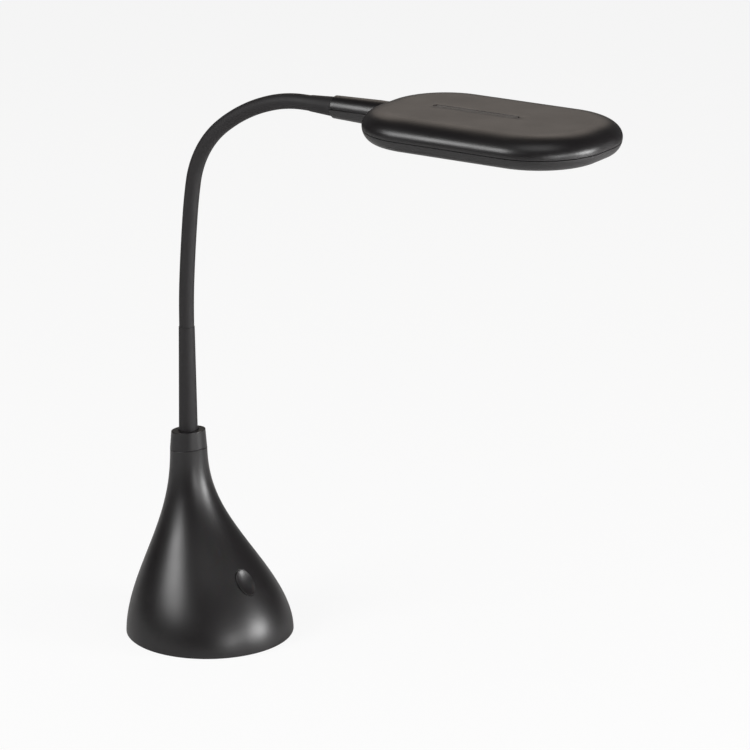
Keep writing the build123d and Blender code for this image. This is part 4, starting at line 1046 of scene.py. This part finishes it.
class LAMP_OT_head_top(LampOperator):
    """Upper cover of the head, with its rounded rim and the slot in its flat top"""

    bl_idname = "lamp.head_top"
    bl_label = "Head top"

    def execute(self, context):
        s = sizes()
        top, ceiling, foot = s.head_top, s.head_top - s.head_wall, -s.seam_drop
        soft, slot_soft, foot_soft, ceiling_soft = 0.3 * MM, 0.25 * MM, 0.2 * MM, 0.1 * MM
        arc = np.linspace(0, pi / 2, 30)
        drop = np.linspace(0.25, 0.9, 5) * s.seam_drop
        share = np.linspace(0, 1, 8)[1:-1]
        rows = [
            profile_rows(*on_rim(arc[::-1], s.top_rim, top)),
            profile_rows(lower_rim(drop), -drop)[:-1],
            soft_corner(lower_rim(s.seam_drop), foot, (0, soft), (soft, 0)),
            soft_corner(s.head_wall, foot, (-foot_soft, 0), (0, foot_soft), 3),
            profile_rows(*on_rim(arc, s.top_rim - s.head_wall, ceiling, s.head_wall)),
            profile_rows(s.top_rim, ceiling, share, 0.0),
            soft_corner(0, ceiling, (ceiling_soft, 0), (0, ceiling_soft), 3, slot=True),
            soft_corner(0, top, (0, -slot_soft), (slot_soft, 0), slot=True),
            profile_rows(s.top_rim, top, share[::-1], slot_soft),
        ]
        cover = make_piece("head_top_shell", *head_surface(np.concatenate(rows)), look("satin_abs"))
        cut_for_socket(cover)
        settle(cover, "head", "black_shell", "head_top_cover")
        return {"FINISHED"}


def screw_places():
    """Middles of the head's screws at the underside, on the diagonals of its corners."""
    s = sizes()
    reach = (s.head_corner - s.screw_inset) * np.sqrt(0.5)
    x = s.head_length / 2 - s.head_corner + reach
    y = s.head_width / 2 - s.head_corner + reach
    signs = np.array([(1, 1), (1, -1), (-1, 1), (-1, -1)])
    return from_head(signs[:, 0] * x, signs[:, 1] * y, np.full(4, -s.head_bottom))


class LAMP_OT_head_bottom(LampOperator):
    """Lower cover of the head, with its bezel, its locating lip and the screws' seats"""

    bl_idname = "lamp.head_bottom"
    bl_label = "Head bottom"

    def execute(self, context):
        s = sizes()
        bottom, floor = s.head_bottom, s.head_bottom - s.head_wall
        land = s.seam_drop + s.seam_gap
        soft, small = 0.3 * MM, 0.15 * MM
        rim_start = np.arcsin((land + soft) / bottom)
        outer_inset, outer_drop = on_rim(np.linspace(rim_start, pi / 2, 30), s.bottom_rim, bottom)
        inner_width = s.bottom_rim - s.head_wall
        lip_inner, lip_top = s.lip_inset + s.lip_wall, -land + s.lip_rise
        meet = np.arccos(1 - (lip_inner - s.head_wall) / inner_width)
        inner_inset, inner_drop = on_rim(np.linspace(pi / 2, meet, 20), inner_width, floor, s.head_wall)
        land_inset = lower_rim(land)
        to_rim = (outer_inset[0] - land_inset, land - outer_drop[0])
        rows = [
            soft_corner(land_inset, -land, (soft, 0), to_rim)[:-1],
            profile_rows(outer_inset, -outer_drop),
            soft_corner(s.window_inset, -bottom, (-soft, 0), (0, soft)),
            soft_corner(s.window_inset, -floor, (0, -small), (-small, 0), 3),
            profile_rows(inner_inset, -inner_drop),
            soft_corner(lip_inner, lip_top, (0, -small), (-small, 0), 3),
            soft_corner(s.lip_inset, lip_top, (small, 0), (0, -small), 3),
            soft_corner(s.lip_inset, -land, (0, small), (-small, 0), 3),
        ]
        cover = make_piece("head_bottom_shell", *head_surface(np.concatenate(rows)), look("satin_abs"))
        seat, hole = s.head_wall / 2, 1.5 * MM
        outline = [(s.screw_head, -1 * MM), (s.screw_head, seat), (hole, seat), (hole, 3 * s.head_wall)]
        cut(cover, plug_cutter([(place, UP, SIDEWAYS, outline) for place in screw_places()]))
        cut_for_socket(cover)
        settle(cover, "head", "black_shell", "head_bottom_cover")
        return {"FINISHED"}


class LAMP_OT_strip(LampOperator):
    """Strip that fills the slot in the head's top, with a small hole at its rear end"""

    bl_idname = "lamp.strip"
    bl_label = "Strip"

    def execute(self, context):
        s = sizes()
        _, _, core, way = head_columns()
        level = s.head_top - s.strip_drop
        body, flange = s.slot_width / 2 - s.strip_gap, s.slot_width / 2 + 1.6 * MM
        soft, tiny, hole, floor = 0.12 * MM, 0.1 * MM, s.pinhole_radius, level - 1.0 * MM
        ceiling = s.head_top - s.head_wall
        shelf, back = ceiling - 0.05 * MM, ceiling - 1.05 * MM
        # rows of (radius about the slot's core line, height, share of the way to the small hole,
        # radius of the hole)
        rows = np.array(
            [
                (0.3 * MM, back, 0, 0),
                (flange - soft, back, 0, 0),
                (flange, back + soft, 0, 0),
                (flange, shelf - soft, 0, 0),
                (flange - soft, shelf, 0, 0),
                (body + soft, shelf, 0, 0),
                (body, ceiling + soft, 0, 0),
                (body, level - soft, 0, 0),
                (body - 0.3 * soft, level - 0.3 * soft, 0, 0),
                (body - soft, level, 0, 0),
                (body - soft, level, 0.5, hole),
                (body - soft, level, 1, hole + tiny),
                (body - soft, level - tiny, 1, hole),
                (body - soft, floor + tiny, 1, hole),
                (body - soft, floor, 1, hole - tiny),
                (body - soft, floor, 1, tiny),
            ]
        )
        radius, height, share, hole_radius = (column[:, None, None] for column in rows.T)
        middle = np.array([s.slot_shift - s.slot_length / 2 + s.pinhole_inset, 0])
        ray = core + body * way - middle
        ray = ray / np.linalg.norm(ray, axis=1, keepdims=True)
        flat = (1 - share) * (core + radius * way) + share * (middle + hole_radius * ray)
        points = from_head(flat[..., 0], flat[..., 1], height[..., 0])
        faces = capped_faces(len(rows), len(core))
        strip = make_piece("slot_strip", points, faces, look("strip_polycarbonate"))
        settle(strip, "head", "slot_plastic", "slot_insert")
        return {"FINISHED"}


# ---------------------------------------------------------------- pieces that keep their CAD shape
CAD_FINISHES = {
    "eva_foam": "foot_pad",
    "phosphated_steel": "bottom_plate bottom_screws head_screws",
    "cast_iron": "ballast_weight",
    "zinc_steel": "weight_screws lower_ferrule upper_ferrule lock_nut lock_washer jack_nut"
    " board_screws led_screws socket_screws",
    "green_solder_mask": "control_board",
    "white_solder_mask": "led_board",
    "component_nylon": "board_components push_switch switch_plunger head_connector",
    "phosphor_silicone": "leds",
    "rolled_aluminium": "heat_spreader",
    "white_pet": "reflector",
    "opal_acrylic": "diffuser",
    "pvc_lead": "jack_lead",
}


class LAMP_OT_cad_finishes(LampOperator):
    """Finishes of the CAD pieces that show or lie inside as they are"""

    bl_idname = "lamp.cad_finishes"
    bl_label = "CAD finishes"

    def execute(self, context):
        named = {name: look(kind) for kind, names in CAD_FINISHES.items() for name in names.split()}
        named["dc_jack"] = inlet_finish()
        for name, material in named.items():
            mesh = NODES[name].data
            mesh.materials.clear()
            mesh.materials.append(material)
        unfinished = [n for n, o in NODES.items() if n not in named and not o.hide_render]
        if unfinished:
            raise RuntimeError(f"no finish for {unfinished}")
        return {"FINISHED"}


# ---------------------------------------------------------------- studio
SOFTBOX_DISTANCE = 1.7
SOFTBOX_AIM = (0.03, -0.04, 0.2)
# azimuth and elevation in degrees, width and height in metres, power in watts, colour
SOFTBOXES = {
    "left": (-108, 34, 0.9, 0.65, 18, "ffffff"),
    "right": (31, 8, 0.65, 0.4, 19, "ffffff"),
    "wide": (5, 9, 1.3, 0.45, 8, "ffffff"),
    "front": (-18, 4, 0.5, 0.3, 3.5, "ffffff"),
    "back": (130, 36, 1.1, 0.9, 2.7, "fff1e4"),
    "top": (-30, 70, 1.0, 0.9, 4, "ffffff"),
}
FLOOR_HALF = 9.0
FLOOR_LEVEL = -0.1 * MM
FLOOR_LIFT = 0.9  # how far the camera sees the floor moved towards plain white
WHITE = (1, 1, 1, 1)
CAMERA_LENS = 176.65
CAMERA_TARGET = (85.3 * MM, -84.9 * MM, 193.93 * MM)


def direction_of(azimuth, elevation):
    """Direction from the lamp towards an azimuth from the front and an elevation, in radians."""
    return Vector(
        (sin(azimuth) * cos(elevation), -cos(azimuth) * cos(elevation), sin(elevation))
    )


def add_object(name, data):
    """New object in the scene."""
    thing = bpy.data.objects.new(name, data)
    bpy.context.scene.collection.objects.link(thing)
    return thing


def face_towards(thing, aim, out, distance):
    """Puts a light or camera a distance from its aim, and turns it to face that."""
    thing.location = Vector(aim) + out * distance
    thing.rotation_euler = out.to_track_quat("Z", "Y").to_euler()


def softbox(name, azimuth, elevation, width, height, energy, tint):
    """Rectangular lamp that faces the object from a direction."""
    light = bpy.data.lights.new(name, "AREA")
    light.shape = "RECTANGLE"
    light.size = width
    light.size_y = height
    light.energy = energy
    light.color = linear(tint)
    out = direction_of(radians(azimuth), radians(elevation))
    face_towards(add_object(name, light), SOFTBOX_AIM, out, SOFTBOX_DISTANCE)


def studio_world():
    """World: white to the camera; to the lamp a faint backdrop behind it, dimmer all round."""
    world = bpy.data.worlds.new("studio")
    bpy.context.scene.world = world
    tree = bare_tree(world)
    away = tuple(-direction_of(sizes().camera_azimuth, 0))
    place = {0: add_node(tree, "TexCoord").outputs["Generated"]}
    behind = add_node(tree, "VectorMath", {1: away}, place, operation="DOT_PRODUCT")
    glow = add_node(
        tree,
        "MapRange",
        {"From Min": 0.5, "From Max": 0.92, "To Min": 0.02, "To Max": 0.1},
        {"Value": behind.outputs["Value"]},
        interpolation_type="SMOOTHSTEP",
    )
    seen = add_node(tree, "LightPath")
    larger = {0: glow.outputs["Result"], 1: seen.outputs["Is Camera Ray"]}
    strength = add_node(tree, "Math", links=larger, operation="MAXIMUM")
    light = add_node(tree, "Background", {"Color": WHITE}, {"Strength": strength.outputs["Value"]})
    add_node(tree, "OutputWorld", links={"Surface": light.outputs["Background"]})


def floor_finish():
    """Pale painted floor: it keeps the lamp's shadow, and is lifted towards white for the camera."""
    material = bpy.data.materials.new("pale_painted_floor")
    tree = bare_tree(material)
    seen = {0: add_node(tree, "LightPath").outputs["Is Camera Ray"]}
    lift = add_node(tree, "Math", {1: FLOOR_LIFT}, seen, operation="MULTIPLY")
    paint = add_node(tree, "BsdfPrincipled", {"Base Color": (*tints().floor, 1), "Roughness": 0.8})
    white = add_node(tree, "Emission", {"Color": WHITE, "Strength": 1.0})
    mix = {0: lift.outputs["Value"], 1: paint.outputs["BSDF"], 2: white.outputs["Emission"]}
    mixed = add_node(tree, "MixShader", links=mix)
    add_node(tree, "OutputMaterial", links={"Surface": mixed.outputs["Shader"]})
    return material


class LAMP_OT_stage(LampOperator):
    """Floor, softboxes, world and camera"""

    bl_idname = "lamp.stage"
    bl_label = "Stage"

    def execute(self, context):
        s = sizes()
        mesh = bpy.data.meshes.new("floor")
        signs = ((-1, -1), (1, -1), (1, 1), (-1, 1))
        corners = [(x * FLOOR_HALF, y * FLOOR_HALF, FLOOR_LEVEL) for x, y in signs]
        mesh.from_pydata(corners, [], [(0, 1, 2, 3)])
        mesh.materials.append(floor_finish())
        floor = add_object("floor", mesh)
        for name, settings in SOFTBOXES.items():
            softbox(f"softbox_{name}", *settings)
        studio_world()
        view = bpy.data.cameras.new("camera")
        view.lens = CAMERA_LENS
        view.sensor_width = 36
        view.clip_end = 60
        camera = add_object("camera", view)
        out = direction_of(s.camera_azimuth, s.camera_elevation)
        face_towards(camera, CAMERA_TARGET, out, s.camera_distance)
        context.scene.camera = camera
        context.scene.view_settings.view_transform = "Standard"
        return {"FINISHED"}


# ---------------------------------------------------------------- add-on
STEPS = (
    LAMP_OT_stage,
    LAMP_OT_bell,
    LAMP_OT_collar,
    LAMP_OT_button,
    LAMP_OT_neck,
    LAMP_OT_boots,
    LAMP_OT_socket,
    LAMP_OT_head_top,
    LAMP_OT_head_bottom,
    LAMP_OT_strip,
    LAMP_OT_cad_finishes,
)


class LAMP_PT_panel(bpy.types.Panel):
    """Sidebar panel with the lamp's sizes, colours and pieces"""

    bl_idname = "LAMP_PT_panel"
    bl_label = "Gooseneck lamp"
    bl_space_type = "VIEW_3D"
    bl_region_type = "UI"
    bl_category = "Lamp"

    def draw(self, context):
        for step in STEPS:
            self.layout.operator(step.bl_idname)
        for group in (context.scene.lamp_sizes, context.scene.lamp_colours):
            for name in group.__annotations__:
                self.layout.prop(group, name)


CLASSES = (LampSizes, LampColours, *STEPS, LAMP_PT_panel)


def register():
    for each in CLASSES:
        bpy.utils.register_class(each)
    bpy.types.Scene.lamp_sizes = PointerProperty(type=LampSizes)
    bpy.types.Scene.lamp_colours = PointerProperty(type=LampColours)


def unregister():
    del bpy.types.Scene.lamp_colours
    del bpy.types.Scene.lamp_sizes
    for each in reversed(CLASSES):
        bpy.utils.unregister_class(each)


def main():
    register()
    for step in STEPS:
        module, name = step.bl_idname.split(".")
        getattr(getattr(bpy.ops, module), name)()


if __name__ == "__main__":
    main()
